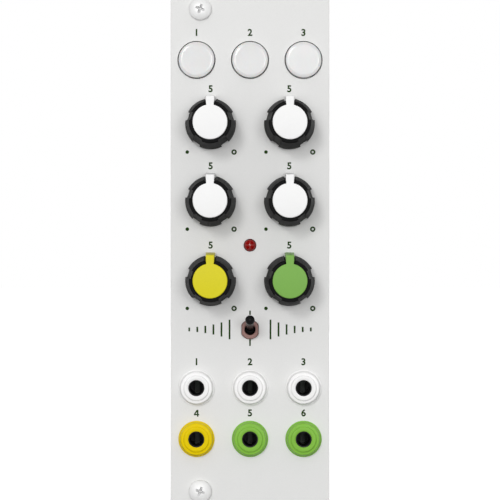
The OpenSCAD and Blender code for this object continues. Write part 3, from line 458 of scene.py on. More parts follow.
def finish(
    name, colour, rough, grain, slot=None, metal=0, vary=0.03, bump=0.1,
    stretch=(1, 1, 1), gloss=0.5, coat=0, clear=0, inner=0,
):
    """Adds a finish with fine grain, broad mottling in colour and roughness, and a fine relief."""
    material = bpy.data.materials.new(name)
    material.use_nodes = True
    tree = material.node_tree
    place = add_node(tree, "ShaderNodeTexCoord")["Object"]
    lay = add_node(tree, "ShaderNodeMapping", {"Vector": place, "Scale": stretch})[0]
    fine = noise(tree, lay, grain, FINE_DETAIL)
    broad = noise(tree, place, MOTTLE_SCALE, MOTTLE_DETAIL)
    both = maths(tree, "MULTIPLY_ADD", fine, 0.5, maths(tree, "MULTIPLY", broad, 0.5))
    dark = [c * (1 - vary) for c in colour] + [1]
    light = [min(1, c * (1 + vary)) for c in colour] + [1]
    blend = {0: spread(tree, both, TINT_FROM), 6: dark, 7: light}
    least, most = rough * (1 - POLISH_SPREAD), min(1, rough * (1 + POLISH_SPREAD))
    relief = {"Strength": bump, "Distance": RELIEF_DEPTH, "Height": fine}
    looks = {
        "Base Color": add_node(tree, "ShaderNodeMix", blend, data_type="RGBA")[2],
        "Roughness": spread(tree, broad, POLISH_FROM, least, most),
        "Normal": add_node(tree, "ShaderNodeBump", relief)[0],
        "Metallic": metal,
        "Specular IOR Level": gloss,
        "Coat Weight": coat,
        "Coat Roughness": COAT_ROUGH,
        "Transmission Weight": clear,
        "Subsurface Weight": inner,
        "Subsurface Scale": INNER_DEPTH,
    }
    wire(tree, tree.nodes["Principled BSDF"], looks)
    FINISHES[name] = material
    SLOTS[name] = slot or name


CAP = {"rough": 0.4, "grain": 3000, "bump": 0.05}
RING = {"rough": 0.3, "grain": 3000, "bump": 0.06}

finish("panel_paint", (0.715, 0.715, 0.707), 0.55, 4200, vary=0.02, bump=0.12, gloss=0.35)
# near-black finish for the walls of the panel's holes: painted shade that darkens the gaps round the
# controls
finish("hole_wall_shade", (0.045, 0.045, 0.044), 0.6, 2400, vary=0.1, gloss=0.2)
finish("panel_ink", (0.018, 0.044, 0.008), 0.65, 6000, vary=0.12, gloss=0.05)
finish("nickel", (0.58, 0.565, 0.54), 0.32, 900, metal=1, vary=0.04, stretch=(1, 1, 8))
finish("bright_head", (0.71, 0.71, 0.707), 0.55, 1500, "nickel", metal=0.35)
# a darker grey for the cross recess of the screw heads: painted shade inside the recess
finish("recess_shade", (0.66, 0.66, 0.66), 0.6, 1500, metal=0.2, vary=0.06, gloss=0.3)
finish("brass", (0.72, 0.52, 0.24), 0.3, 700, metal=1, vary=0.06, stretch=(1, 9, 1))
finish("gold_pins", (0.86, 0.64, 0.27), 0.25, 1800, metal=1, vary=0.05)
finish("tinned", (0.54, 0.54, 0.525), 0.38, 1600, "tinned_metal", metal=1, vary=0.07, bump=0.2)
finish("can_metal", (0.5, 0.505, 0.51), 0.3, 500, metal=1, stretch=(1, 12, 1))
finish("pot_metal", (0.44, 0.44, 0.43), 0.45, 1900, metal=1, vary=0.06, bump=0.25)
finish("spring_bronze", (0.76, 0.58, 0.34), 0.3, 900, metal=1, vary=0.06, stretch=(1, 7, 1))
finish("solder_mask", (0.018, 0.1, 0.045), 0.3, 700, vary=0.22, bump=0.08, coat=0.4)
finish("dull_mask", (0.018, 0.034, 0.024), 0.42, 700, vary=0.22, gloss=0.35)
finish("masked_copper", (0.035, 0.17, 0.07), 0.28, 1500, "board", vary=0.12, coat=0.4)
finish("black_mould", (0.02, 0.02, 0.021), 0.55, 3200, "black_plastic", vary=0.2, bump=0.25)
finish("chip_black", (0.02, 0.02, 0.022), 0.62, 5200, "chip", vary=0.25, bump=0.3)
finish("socket_black", (0.008, 0.008, 0.0085), 0.58, 2600, "socket_plastic", vary=0.2, bump=0.2, gloss=0.25)
finish("knob_black", (0.0055, 0.0055, 0.0057), 0.5, 3600, vary=0.2, gloss=0.03)
finish("white_plastic", (0.855, 0.855, 0.852), vary=0.015, gloss=0.15, **CAP)
finish("white_ring", (0.85, 0.845, 0.84), slot="white_plastic", vary=0.02, gloss=0.25, **RING)
finish("yellow_plastic", (0.66, 0.59, 0.018), gloss=0.08, **CAP)
finish("yellow_ring", (0.74, 0.555, 0.002), slot="yellow_plastic", gloss=0.04, **RING)
finish("green_plastic", (0.19, 0.4, 0.08), gloss=0.08, **CAP)
finish("green_ring", (0.21, 0.465, 0.052), slot="green_plastic", gloss=0.1, **RING)
finish("button_white", (0.66, 0.66, 0.658), 0.2, 2600, vary=0.015, bump=0.03, gloss=0.55, inner=0.1)
finish("stem_plastic", (0.78, 0.78, 0.75), 0.5, 2600)
finish("lamp_clear", (0.85, 0.84, 0.78), 0.15, 1200, clear=0.6, coat=0.5)
finish(
    "lens_red", (0.3, 0.003, 0.002), 0.14, 1600, "red_lens",
    vary=0.12, bump=0.03, gloss=0.05, clear=0.15, coat=0.35,
)
finish("toggle_red", (0.255, 0.137, 0.121), 0.48, 2400, vary=0.12, bump=0.2, gloss=0.3)
finish("lever_black", (0.0065, 0.0065, 0.007), 0.22, 2800, vary=0.15, bump=0.05, gloss=0.06)


def dress(finish, node):
    """Gives a CAD node that stays a finish."""
    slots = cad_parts[node].data.materials
    slots.clear()
    slots.append(FINISHES[finish])


def make_panel():
    """The plate with a hole for every control, softly broken edges and near-black hole walls, a painted
    shade for the gaps round the controls.
    """
    low, high = drawn_box("front_panel")
    curve = bpy.data.curves.new("panel", "CURVE")
    curve.dimensions = "2D"
    curve.fill_mode = "BOTH"
    curve.bevel_depth = PANEL_EDGE
    curve.bevel_resolution = 2
    curve.offset = -PANEL_EDGE
    curve.extrude = PANEL_T / 2 - PANEL_EDGE
    outlines = [rectangle(high.x - low.x, high.y - low.y, PANEL_CORNER_R, 6)]
    for radius, places in HOLES:
        outlines += [circle(x, y, radius, HOLE_STEPS) for x, y in places]
    flat = degrees(acos(TOGGLE_HOLE_W / 2 / TOGGLE_HOLE_R))
    x, y = TOGGLE_PLACE
    over = arc(x, y, TOGGLE_HOLE_R, flat, 180 - flat, TOGGLE_HOLE_STEPS)
    under = arc(x, y, TOGGLE_HOLE_R, 180 + flat, 360 - flat, TOGGLE_HOLE_STEPS)
    outlines.append(over + under)
    for outline in outlines:
        spline = curve.splines.new("POLY")
        spline.points.add(len(outline) - 1)
        for point, (x, y) in zip(spline.points, outline):
            point.co = (x, y, 0, 1)
        spline.use_cyclic_u = True
    mesh = moved(settled(linked(curve)), z=PANEL_T / 2)
    plate = piece("panel_plate", mesh, "panel_paint", stands_for=["front_panel"])
    plate.data.materials.append(FINISHES["hole_wall_shade"])
    # the walls of the holes take the near-black finish, painted shade in the gaps round the controls
    for face in plate.data.polygons:
        inside = cad_low.x + MM < face.center.x < cad_high.x - MM and abs(face.center.z) < cad_high.z - MM
        if inside and abs(face.normal.y) < 0.5:
            face.material_index = 1


# Printed marks: end marks of the dials, numerals, the toggle's ticks and a fading row of bars
INK_T = 0.03
INK_Z = PANEL_T - 0.01
INK_TOP = INK_Z + INK_T
MARK_X, MARK_Y = 5.95, -7.1
DOT_R, DOT_STEPS = 0.46, 24
END_RING_SIDE, END_RING_STEPS = [(0.28, INK_Z), (0.69, INK_Z), (0.69, INK_TOP), (0.28, INK_TOP)], 28
NUMERAL_H, NUMERAL_SHARE, NUMERAL_WEIGHT = 1.65, 0.69, 0.08
FOUR_EDGE = [(0.12, -0.86), (0.48, -0.86), (0.48, -0.5), (0.67, -0.5), (0.67, -0.17), (0.48, -0.17)]
FOUR_EDGE += [(0.48, 0.86), (0.06, 0.86), (-0.67, -0.19), (-0.67, -0.5), (0.12, -0.5)]
FOUR_HOLE = [(0.12, -0.17), (0.12, 0.36), (-0.25, -0.17)]
DIAL_NUMERAL_UP, BUTTON_NUMERAL_UP, JACK_NUMERAL_UP = 8.9, 6.9, 6.5
TICK_W, TICK_CORNER = 0.4, 0.1
TICKS = ((-16.5, -15.4), (-24.4, -22.3))
BAR_COUNT = 6
BAR_START, BAR_PITCH = 5.2, 2.05
BAR_H, BAR_RATIO, BAR_W = 5.0, 0.72, 0.45


def numeral(text, x, y):
    """A printed numeral; the four, with its closed bowl, is drawn from a given outline."""
    if text == "4":
        edge = extruded(FOUR_EDGE, INK_Z, INK_TOP)
        hole = extruded(FOUR_HOLE, INK_Z - INK_T, INK_TOP + INK_T)
        return moved(combined(edge, hole, "DIFFERENCE"), x, y)
    curve = bpy.data.curves.new("numeral", "FONT")
    curve.body = text
    curve.size = NUMERAL_H / NUMERAL_SHARE
    curve.align_x = "CENTER"
    curve.align_y = "CENTER"
    curve.offset = NUMERAL_WEIGHT
    curve.extrude = INK_T / 2
    curve.resolution_u = 4
    return moved(settled(linked(curve)), x, y, INK_Z + INK_T / 2)


def make_print():
    """All the print on the panel."""
    dials = KNOB_PLACES.values()
    dot = extruded(circle(0, 0, DOT_R, DOT_STEPS), INK_Z, INK_TOP)
    ring = turned(END_RING_SIDE, END_RING_STEPS, True)
    prints = [
        set_out(dot, around(dials, [(-MARK_X, MARK_Y)]), "panel_ink"),
        set_out(ring, around(dials, [(MARK_X, MARK_Y)]), "panel_ink"),
    ]
    prints += [numeral("5", *place) for place in around(dials, [(0, DIAL_NUMERAL_UP)])]
    for places, up in ((BUTTON_PLACES.values(), BUTTON_NUMERAL_UP), (JACK_PLACES, JACK_NUMERAL_UP)):
        prints += [numeral(str(i + 1), x, y + up) for i, (x, y) in enumerate(places)]
    for low, high in TICKS:
        tick = rectangle(TICK_W, high - low, TICK_CORNER, 2)
        prints.append(moved(extruded(tick, INK_Z, INK_TOP), 0, (low + high) / 2))
    size = {"Count": BAR_COUNT, "Height": BAR_H, "Ratio": BAR_RATIO, "Width": BAR_W, "Thickness": INK_T}
    for side in (-1, 1):
        bars = grown(FADING, Pitch=side * BAR_PITCH, Finish=FINISHES["panel_ink"], **size)
        prints.append(moved(bars, side * BAR_START, TOGGLE_PLACE[1], INK_Z + INK_T / 2))
    piece("panel_print", joined(*prints), "panel_ink")


# Rail screws; the cross's point and mouth are shares of its length and width
HEAD_R, HEAD_H, DOME_H, HEAD_EDGE = 2.8, 1.9, 0.8, 0.12
HEAD_TOP = PANEL_T + HEAD_H
CROSS_TURN, CROSS_LEN, CROSS_W = -20, 2.8, 0.7
CROSS_DEEP, CROSS_OVER = 1.1, 0.3
CROSS_POINT, CROSS_MOUTH = (0.25, 0.2), (1.15, 1.2)
# depth under the dome from which the recess takes its painted shade
RECESS_FROM = 0.06
NECK_R, NECK_SIDES = 1.2, 40
THREAD_R, THREAD_DEEP, THREAD_PITCH, THREAD_RINGS = 1.5, 0.3, 0.5, 92
THREAD_LOW, THREAD_HIGH = -6, -0.3


def dome_radius(radius, drop):
    """Radius of the curve of a dome that drops so far at its edge."""
    return (radius**2 + drop**2) / (2 * drop)


def dome(radius, height, drop, steps=8):
    """Side view of a low domed head, from its edge to its axis."""
    curve_r = dome_radius(radius, drop)
    reach = degrees(asin(radius / curve_r))
    return arc(0, height - curve_r, curve_r, 90 - reach, 90, steps)


def cross_cutter():
    """The tapered cross of a screwdriver's tip."""
    sections = []
    for z, (long, wide) in ((HEAD_TOP - CROSS_DEEP, CROSS_POINT), (HEAD_TOP + CROSS_OVER, CROSS_MOUTH)):
        a, b = CROSS_LEN * long / 2, CROSS_W * wide / 2
        section = []
        for c, s in ((1, 0), (0, 1), (-1, 0), (0, -1)):
            section += [(x * c - y * s, x * s + y * c, z) for x, y in ((a, -b), (a, b), (b, b))]
        sections.append(section)
    return moved(loft(sections), turn=CROSS_TURN)


def make_rail_screws():
    """Two domed screws with a cross recess in painted shade, a plain neck and a cut thread."""
    shoulder = HEAD_TOP - DOME_H - HEAD_EDGE / 2
    side = [(0, PANEL_T), (HEAD_R - HEAD_EDGE, PANEL_T), (HEAD_R, PANEL_T + HEAD_EDGE), (HEAD_R, shoulder)]
    head = turned(side + dome(HEAD_R - HEAD_EDGE / 2, HEAD_TOP, DOME_H))
    head = combined(head, cross_cutter(), "DIFFERENCE")
    neck = turned([(0, THREAD_HIGH), (NECK_R, THREAD_HIGH), (NECK_R, PANEL_T), (0, PANEL_T)], NECK_SIDES)
    size = {"Radius": THREAD_R, "Depth": THREAD_DEEP, "Pitch": THREAD_PITCH, "Rings": THREAD_RINGS}
    thread = grown(THREAD, Length=THREAD_HIGH - THREAD_LOW, Finish=FINISHES["nickel"], **size)
    screw = joined(head, neck, moved(thread, z=(THREAD_LOW + THREAD_HIGH) / 2))
    mesh = set_out(screw, SCREW_PLACES, "bright_head")
    screws = piece("rail_screws_turned", mesh, "bright_head", stands_for=["rail_screws"])
    screws.data.materials.append(FINISHES["recess_shade"])
    screws.data.materials.append(FINISHES["nickel"])
    curve_r = dome_radius(HEAD_R, DOME_H)
    # faces deep in the cross recess take the darker grey, a painted shade; faces behind the panel take the
    # thread's nickel
    for face in screws.data.polygons:
        x, y, z = drawn(face.center)
        off = hypot(x - SCREW_X, abs(y) - SCREW_Y)
        if z < 0:
            face.material_index = 2
        elif off < CROSS_LEN / 2 and z < HEAD_TOP - curve_r + sqrt(curve_r**2 - off**2) - RECESS_FROM:
            face.material_index = 1


# Knobs: a loft through fluted sections, with the cap's seat and the hollow cut out
KNOB_FOOT = 2.8
KNOB_SIDE = [(6.3, 0), (6.446, 0.15, 0.1), (6.446, 1.2, 2.0), (5.3, 11.8, 0.15), (5.1, 12)]
KNOB_SMOOTH = 40
FLUTES = 5
FLUTE_W, SLOT_W, SLOT_REACH = 2.1, 2.65, 8
FLUTE_FOOT_R, FLUTE_TOP_R = 5.946, 4.8
FLUTE_SOFT, FLUTE_SOFT_SHARE, FLUTE_LEAST = 0.14, 0.35, 0.04
RIDGE_STEPS = 12
SEAT_R, SEAT_H, SEAT_STEPS, KNOB_H = 4.45, 11.1, 72, 12
HOLLOW_R, HOLLOW_H = 5.496, 2.1
BORE_R, BORE_H = 3.02, 9.5

# Pointer caps: a disc and a drafted bar down the knob's side
CAP_R, CAP_LOW, CAP_TOP = 4.35, 11.12, 12.4
CAP_SIDE = [(0, CAP_LOW), (CAP_R, CAP_LOW, 0.1), (CAP_R, CAP_TOP, 0.2), (0, CAP_TOP)]
POINTER_SOFT = 0.14
# inner radius, height and width, then outer radius, height and width, at each station of the bar
POINTER_STATIONS = [
    (3.95, 11.12, 1.8, 3.95, 12.385, 1.8),
    (4.6, 11.12, 1.94, 5.35, 12.385, 2.1),
    (4.906, 11.12, 2.0, 6.446, 12.385, 2.1),
    (5.928, 0.4, 2.21, 7.146, 0.4, 2.45),
]


def knob_section(radius, height):
    """Outline of a knob at a height: ridges on the turned radius between straight-sided flutes."""
    bed = FLUTE_FOOT_R + (FLUTE_TOP_R - FLUTE_FOOT_R) * height / KNOB_H
    pitch = 360 / FLUTES
    halves = [SLOT_W / 2] + [FLUTE_W / 2] * (FLUTES - 1)
    corners = []
    for i, half in enumerate(halves):
        edge = sqrt(radius**2 - half**2)
        floor = min(bed, edge - FLUTE_LEAST)
        soft = min(FLUTE_SOFT, FLUTE_SOFT_SHARE * (edge - floor))
        way = radians(90 + i * pitch)
        c, s = cos(way), sin(way)
        for across, out in ((-half, edge), (-half, floor), (half, floor), (half, edge)):
            corners.append((out * c - across * s, out * s + across * c, soft))
        start = 90 + i * pitch + degrees(asin(half / radius))
        end = 90 + (i + 1) * pitch - degrees(asin(halves[(i + 1) % FLUTES] / radius))
        corners += arc(0, 0, radius, start, end, RIDGE_STEPS)[1:-1]
    return [(x, y, height) for x, y in rounded(corners, steps=3)]


def knob_mesh():
    """A knob's body."""
    body = loft([knob_section(r, h) for r, h in rounded(KNOB_SIDE, closed=False)])
    lean = degrees(asin(SLOT_W / 2 / SEAT_R))
    keyhole = arc(0, 0, SEAT_R, 90 + lean, 450 - lean, SEAT_STEPS)
    keyhole += [(SLOT_W / 2, SLOT_REACH), (-SLOT_W / 2, SLOT_REACH)]
    seat = extruded(keyhole, SEAT_H, KNOB_H + CUT_OVER)
    inside = [(0, -CUT_OVER), (HOLLOW_R, -CUT_OVER), (HOLLOW_R, HOLLOW_H)]
    inside += [(BORE_R, HOLLOW_H), (BORE_R, BORE_H), (0, BORE_H)]
    return combined(body, joined(seat, turned(inside)), "DIFFERENCE")


def pointer_mesh():
    """A coloured cap with its pointer."""
    sections = []
    for inner_r, inner_h, inner_w, outer_r, outer_h, outer_w in POINTER_STATIONS:
        a, b = inner_w / 2, outer_w / 2
        inner = [(-a, inner_r, inner_h), (a, inner_r, inner_h)]
        sections.append(inner + [(b, outer_r, outer_h), (-b, outer_r, outer_h)])
    disc = turned(rounded(CAP_SIDE, closed=False), FINE_STEPS)
    return combined(disc, bevelled(loft(sections), POINTER_SOFT), "UNION")


def make_knobs():
    """Six knobs with their caps, each on its own body."""
    caps = ["white_plastic"] * 4 + ["yellow_plastic", "green_plastic"]
    body, cap = knob_mesh(), pointer_mesh()
    for name, colour in zip(KNOBS, caps):
        place = (*KNOB_PLACES[name], KNOB_FOOT)
        on, node = f"{name}_knob", f"{name}_knob_body"
        piece(f"{name}_knob_moulding", moved(body, *place), "knob_black", on, [node], KNOB_SMOOTH)
        node = f"{name}_pointer_cap"
        piece(f"{name}_pointer_inlay", moved(cap, *place), colour, on, [node], KNOB_SMOOTH)
        dress("can_metal", f"{name}_pot_shaft")


# Buttons
BUTTON_SIDE = [(0, 2.2), (1.35, 2.2), (1.35, 0.3), (2.22, 0.3), (2.22, -1.3), (3.2, -1.3, 0.1), (3.2, 2.2)]
BUTTON_SIDE += [(3.55, 2.2), (3.55, -1.3, 0.1), (5.3, -1.3, 0.2), (5.3, -0.3, 0.2), (4.55, -0.3, 0.1)]
BUTTON_SIDE += [(4.55, 3.04, 0.3), (3.75, 3.19, 1.2), (0, 3.14)]


def make_buttons():
    """Three hollow caps with a round edge and a faintly dished front."""
    cap = turned(rounded(BUTTON_SIDE, closed=False, steps=6), FINE_STEPS)
    for name in BUTTONS:
        mesh = moved(cap, *BUTTON_PLACES[name])
        on, node = f"{name}_button", f"{name}_button_cap"
        piece(f"{name}_button_moulding", mesh, "button_white", on, [node])
        dress("stem_plastic", f"{name}_button_stem")
    softened("button_switches", "button_switch_housings", "black_mould", 0.15)
    dress("lamp_clear", "button_lamps")


# Socket rings: flange, drafted boss, crown and a hole with a round lip
RING_SIDE = [(3.02, 0), (4.6, 0, 0.06), (4.6, 0.4, 0.15), (4.35, 0.4, 0.08), (3.97, 2.25, 0.28)]
RING_SIDE += [(3.2, 2.25, 0.1), (3.2, 2.75, 0.25), (2.4, 2.75, 0.2), (2.05, 2.62, 0.06)]
RING_SIDE += [(2.05, 2.0), (3.02, 2.0)]


def make_rings():
    """The coloured ring nuts of the six sockets."""
    ring = turned(rounded(RING_SIDE, steps=5), FINE_STEPS, True)
    groups = [
        ("white_jack_rings", slice(0, 3), "white_ring"),
        ("yellow_jack_ring", slice(3, 4), "yellow_ring"),
        ("green_jack_rings", slice(4, 6), "green_ring"),
    ]
    for node, which, colour in groups:
        mesh = set_out(ring, JACK_PLACES[which], colour, PANEL_T)
        piece(f"{node}_turned", mesh, colour, stands_for=[node])
    softened("jack_bodies", "jack_housings", "socket_black", 0.12)
    dress("spring_bronze", "jack_contacts")


# Indicator lamp; ANVIL is a slab's width, height, ends, corner and edge
LENS_R, LENS_DOME_Z = 1.5, 1.8
LENS_SIDE = [(0, -1.1), (1.9, -1.1, 0.1), (1.9, -0.1, 0.1), (LENS_R, -0.1, 0.05), (LENS_R, LENS_DOME_Z)]
CUP_SIDE = [(0, -0.7), (0.3, -0.7), (0.5, 0.6), (0.42, 0.62), (0.25, 0.3), (0, 0.28)]
CUP_X, CUP_STEPS = 0.15, 20
ANVIL, ANVIL_X = (0.45, 0.5, -0.7, 0.5, 0.1, 0.05), -0.75


def make_lamp():
    """The cast lens and, inside it, the two leads' heads with the reflecting cup."""
    side = rounded(LENS_SIDE, closed=False) + arc(0, LENS_DOME_Z, LENS_R, 4, 90, 14)
    lens = moved(turned(side, ROUND_STEPS), *LAMP_PLACE)
    piece("indicator_lens_cast", lens, "lens_red", stands_for=["indicator_lens"])
    heads = joined(moved(turned(CUP_SIDE, CUP_STEPS), x=CUP_X), moved(slab(*ANVIL), x=ANVIL_X))
    piece("indicator_lens_cup", moved(heads, *LAMP_PLACE), "tinned")
    dress("tinned", "indicator_leads")


# Toggle switch; the lever's own heights are measured from its pivot
PIVOT_Z, LEAN = 1.6, 14
BALL_R, TAIL_R, LEVER_NECK_R = 1.3, 0.46, 0.7
TIP_R, TIP_Z = 1.2, 10.9
BAT_END_R = 1.04
LEVER_TAIL = [(0, -2.2), (TAIL_R, -2.2, 0.1), (TAIL_R, -1.3)]
LEVER_BAT = [(LEVER_NECK_R, 1.2), (LEVER_NECK_R, 2.5, 1.2), (0.92, 3.7, 2), (BAT_END_R, 10)]
LEVER_SMOOTH = 50


def make_toggle():
    """The flatted bushing, its housing, and the bat lever on its ball."""
    softened("toggle_bushing", "toggle_bushing_turned", "toggle_red", 0.14, 3)
    softened("toggle_body", "toggle_housing", "toggle_red", 0.2)
    dress("tinned", "toggle_terminals")
    tail_angle = -degrees(acos(TAIL_R / BALL_R))
    neck_angle = degrees(acos(LEVER_NECK_R / BALL_R))
    bat_angle = -degrees(acos(BAT_END_R / TIP_R))
    side = rounded(LEVER_TAIL, closed=False) + arc(0, 0, BALL_R, tail_angle, neck_angle, 12)
    side += rounded(LEVER_BAT, closed=False) + arc(0, TIP_Z, TIP_R, bat_angle, 90, 14)
    lever = turned(side, ROUND_STEPS)
    lean = Matrix.Rotation(radians(-LEAN), 4, "X")
    lever.transform(Matrix.Translation((*TOGGLE_PLACE, PIVOT_Z)) @ lean)
    piece("toggle_bat", lever, "lever_black", "toggle", ["toggle_lever"], LEVER_SMOOTH)


def make_pots():
    """Housings, nuts and washers behind and under the knobs."""
    softened("pot_bodies", "pot_housings", "pot_metal", 0.16)
    softened("pot_nuts", "pot_nuts_cut", "nickel", 0.16)
    softened("pot_washers", "pot_washers_pressed", "nickel", 0.08)
    dress("tinned", "pot_terminals")


# Chips: leads are count, pitch and width; regulators and their parts are a slab's sizes
CHIP_T, CHIP_STAND, CHIP_STEP, CHIP_CORNER, CHIP_DRAFT = 1.5, 0.08, 0.1, 0.15, 0.12
CHIP_LOW_EDGE, CHIP_HIGH_EDGE = 0.04, 0.06
DIMPLE_SIDE = [(0, CHIP_T - 0.15), (0.45, CHIP_T - 0.15), (0.5, CHIP_T + 0.2), (0, CHIP_T + 0.2)]
DIMPLE_IN, DIMPLE_STEPS = 1, 24
LEAD_T, LEAD_KNEE, LEAD_REACH, LEAD_ROOT = 0.2, 0.7, 1.5, -0.2
LEAD_INNER_R, LEAD_OUTER_R, LEAD_TOE_R = 0.06, 0.2, 0.05
PROCESSOR_W, PROCESSOR_PLACE, PROCESSOR_LEADS = 14, (0, 10), (16, 0.8, 0.35)
CONVERTER_SIZE, CONVERTER_PLACE, CONVERTER_LEADS = (18, 7.5), (0, -10), (14, 1.27, 0.42)
AMPLIFIER_SIZE, AMPLIFIER_LEADS = (8.6, 3.9), (7, 1.27, 0.42)
AMPLIFIER_PLACES = [(side * 7, y) for y in (28, 38) for side in (-1, 1)]
REGULATOR = (6.6, 6.1, 0.05, 2.3, 0.25, 0.1, 0.2)
REGULATOR_PLACES = [(-14.6, -42), (14.6, -42)]
TAB, TAB_Y = (5.4, 2.4, 0, 0.5, 0.5, 0.08), 3.05
LEG, LEG_X, LEG_Y = (0.8, 3.2, 0, 0.5, 0.1, 0.06), 2.3, -4.15


def rearward(mesh):
    """A part drawn standing up from z = 0, turned to stand on the main board's rear face."""
    mesh.transform(Matrix.Translation((0, 0, MAIN_BACK)) @ Matrix.Rotation(pi, 4, "Y"))
    return mesh


def rear_piece(name, part, places, finish, stands_for=(), turns=None):
    """A part repeated at places on the main board's rear face, as one piece."""
    mesh = rearward(set_out(part, places, finish, turns=turns))
    piece(name, mesh, finish, stands_for=stands_for)


def chip_mesh(l, w):
    """A moulded chip with drafted sides and a dimple by its first pin."""
    half = CHIP_T / 2
    low = slab(l - CHIP_STEP, w - CHIP_STEP, CHIP_STAND, half, CHIP_CORNER, CHIP_LOW_EDGE)
    high = slab(l, w, half, CHIP_T, CHIP_CORNER, CHIP_HIGH_EDGE, CHIP_DRAFT)
    dimple = moved(turned(DIMPLE_SIDE, DIMPLE_STEPS), DIMPLE_IN - l / 2, w / 2 - DIMPLE_IN)
    return joined(low, combined(high, dimple, "DIFFERENCE"))


def lead_mesh(width):
    """A gull-wing lead, from the middle of a chip's edge out along y and down to the board."""
    top = CHIP_T / 2 + LEAD_T / 2
    inner, outer = LEAD_KNEE - LEAD_T / 2, LEAD_KNEE + LEAD_T / 2
    corners = [
        (LEAD_ROOT, top - LEAD_T),
        (inner, top - LEAD_T, LEAD_INNER_R),
        (inner, 0, LEAD_OUTER_R),
        (LEAD_REACH, 0),
        (LEAD_REACH, LEAD_T, LEAD_TOE_R),
        (outer, LEAD_T, LEAD_INNER_R),
        (outer, top, LEAD_OUTER_R),
        (LEAD_ROOT, top),
    ]
    outline = rounded(corners, steps=2)
    return loft([[(x, y, z) for y, z in outline] for x in (-width / 2, width / 2)])


def lead_rows(place, out, turns, count, pitch, width):
    """Rows of leads so far out from a chip's middle, on the sides at some turns."""
    line = set_out(lead_mesh(width), [(x, out) for x in centred(count, pitch)], "tinned")
    return joined(*[moved(line, *place, turn=turn) for turn in turns])


def make_chips():
    """Chips and regulators on the main board's rear face, with bright leads, tabs and legs."""
    leads = [
        lead_rows(PROCESSOR_PLACE, PROCESSOR_W / 2, (0, 90, 180, 270), *PROCESSOR_LEADS),
        lead_rows(CONVERTER_PLACE, CONVERTER_SIZE[1] / 2, (0, 180), *CONVERTER_LEADS),
    ]
    for place in AMPLIFIER_PLACES:
        leads.append(lead_rows(place, AMPLIFIER_SIZE[1] / 2, (0, 180), *AMPLIFIER_LEADS))
    legs = [moved(slab(*LEG), x, LEG_Y) for x in (-LEG_X, LEG_X)]
    metal = joined(moved(slab(*TAB), y=TAB_Y), *legs)
    leads += [moved(metal, *place) for place in REGULATOR_PLACES]
    piece("chip_leads", rearward(joined(*leads)), "tinned")
    chips = [
        ("processor_chip", chip_mesh(PROCESSOR_W, PROCESSOR_W), [PROCESSOR_PLACE]),
        ("converter_chip", chip_mesh(*CONVERTER_SIZE), [CONVERTER_PLACE]),
        ("amplifier_chips", chip_mesh(*AMPLIFIER_SIZE), AMPLIFIER_PLACES),
        ("regulators", slab(*REGULATOR), REGULATOR_PLACES),
    ]
    for node, mesh, places in chips:
        rear_piece(f"{node}_moulded", mesh, places, "chip_black", [node])


# Capacitors
CAPACITOR_PLACES = [(x, -31.5) for x in (-13.5, -4.5, 4.5, 13.5)]
CAN_R, CAN_H, CAN_EDGE, BASE_T = 3.15, 5.2, 0.5, 0.7
CAN_TOP = BASE_T + CAN_H
GROOVE_R, GROOVE_Z, GROOVE_HALF, GROOVE_ANGLE = 0.38, BASE_T + 1.15, 0.4, 60
SCORE = (4.4, 0.14, CAN_TOP - 0.06, CAN_TOP + 0.2, 0.04, 0.02)
END_MARK_R, END_MARK_T = CAN_R - 0.55, 0.02
END_MARK_FROM, END_MARK_TO, END_MARK_STEPS = 30, 150, 20


def make_capacitors():
    """Drawn cans with a rolled groove and a scored top, a dark end mark, and their bases."""
    side = [(0, BASE_T), (CAN_R, BASE_T), (CAN_R, GROOVE_Z - GROOVE_HALF)]
    groove = arc(0, GROOVE_Z, GROOVE_R, -GROOVE_ANGLE, GROOVE_ANGLE, 8)
    side += [(CAN_R + GROOVE_R / 2 - x, z) for x, z in groove]
    side += rounded([(CAN_R, GROOVE_Z + GROOVE_HALF), (CAN_R, CAN_TOP, CAN_EDGE), (0, CAN_TOP)], False, 6)
    can, score = turned(side), slab(*SCORE)
    for turn in (0, 60, 120):
        can = combined(can, moved(score, turn=turn), "DIFFERENCE")
    rear_piece("capacitor_cans_drawn", can, CAPACITOR_PLACES, "can_metal", ["capacitor_cans"])
    outline = arc(0, 0, END_MARK_R, END_MARK_FROM, END_MARK_TO, END_MARK_STEPS)
    mark = extruded(outline, CAN_TOP, CAN_TOP + END_MARK_T)
    rear_piece("capacitor_end_marks", mark, CAPACITOR_PLACES, "black_mould")
    softened("capacitor_bases", "capacitor_bases_moulded", "black_mould", 0.1)


# Solder joints, and the pins they hold, measured from the middle of what each belongs to
JOINT_SIDE = [(0, 0), (0.88, 0), (0.62, 0.12), (0.42, 0.34), (0.34, 0.62), (0, 0.66)]
JOINT_STEPS, JOINT_SMOOTH = 10, 60
STRIP_X, STRIP_Y, STRIP_PINS, PIN_PITCH = 17.2, 10, 8, 2.54
STRIP_PLACES = [(side * STRIP_X, STRIP_Y + y) for side in (-1, 1) for y in centred(STRIP_PINS, PIN_PITCH)]
POT_PINS = [(x, -7) for x in centred(3, 2.5)] + [(-5, 0), (5, 0)]
SWITCH_LEGS = [(x, y) for x in (-3.2, 3.2) for y in (-4.2, 4.2)]
JACK_PINS = [(0, -3.6), (0, 3.6)]
LAMP_LEADS = [(-0.9, 0), (0.9, 0)]
TOGGLE_PINS = [(0, y) for y in centred(3, PIN_PITCH)]


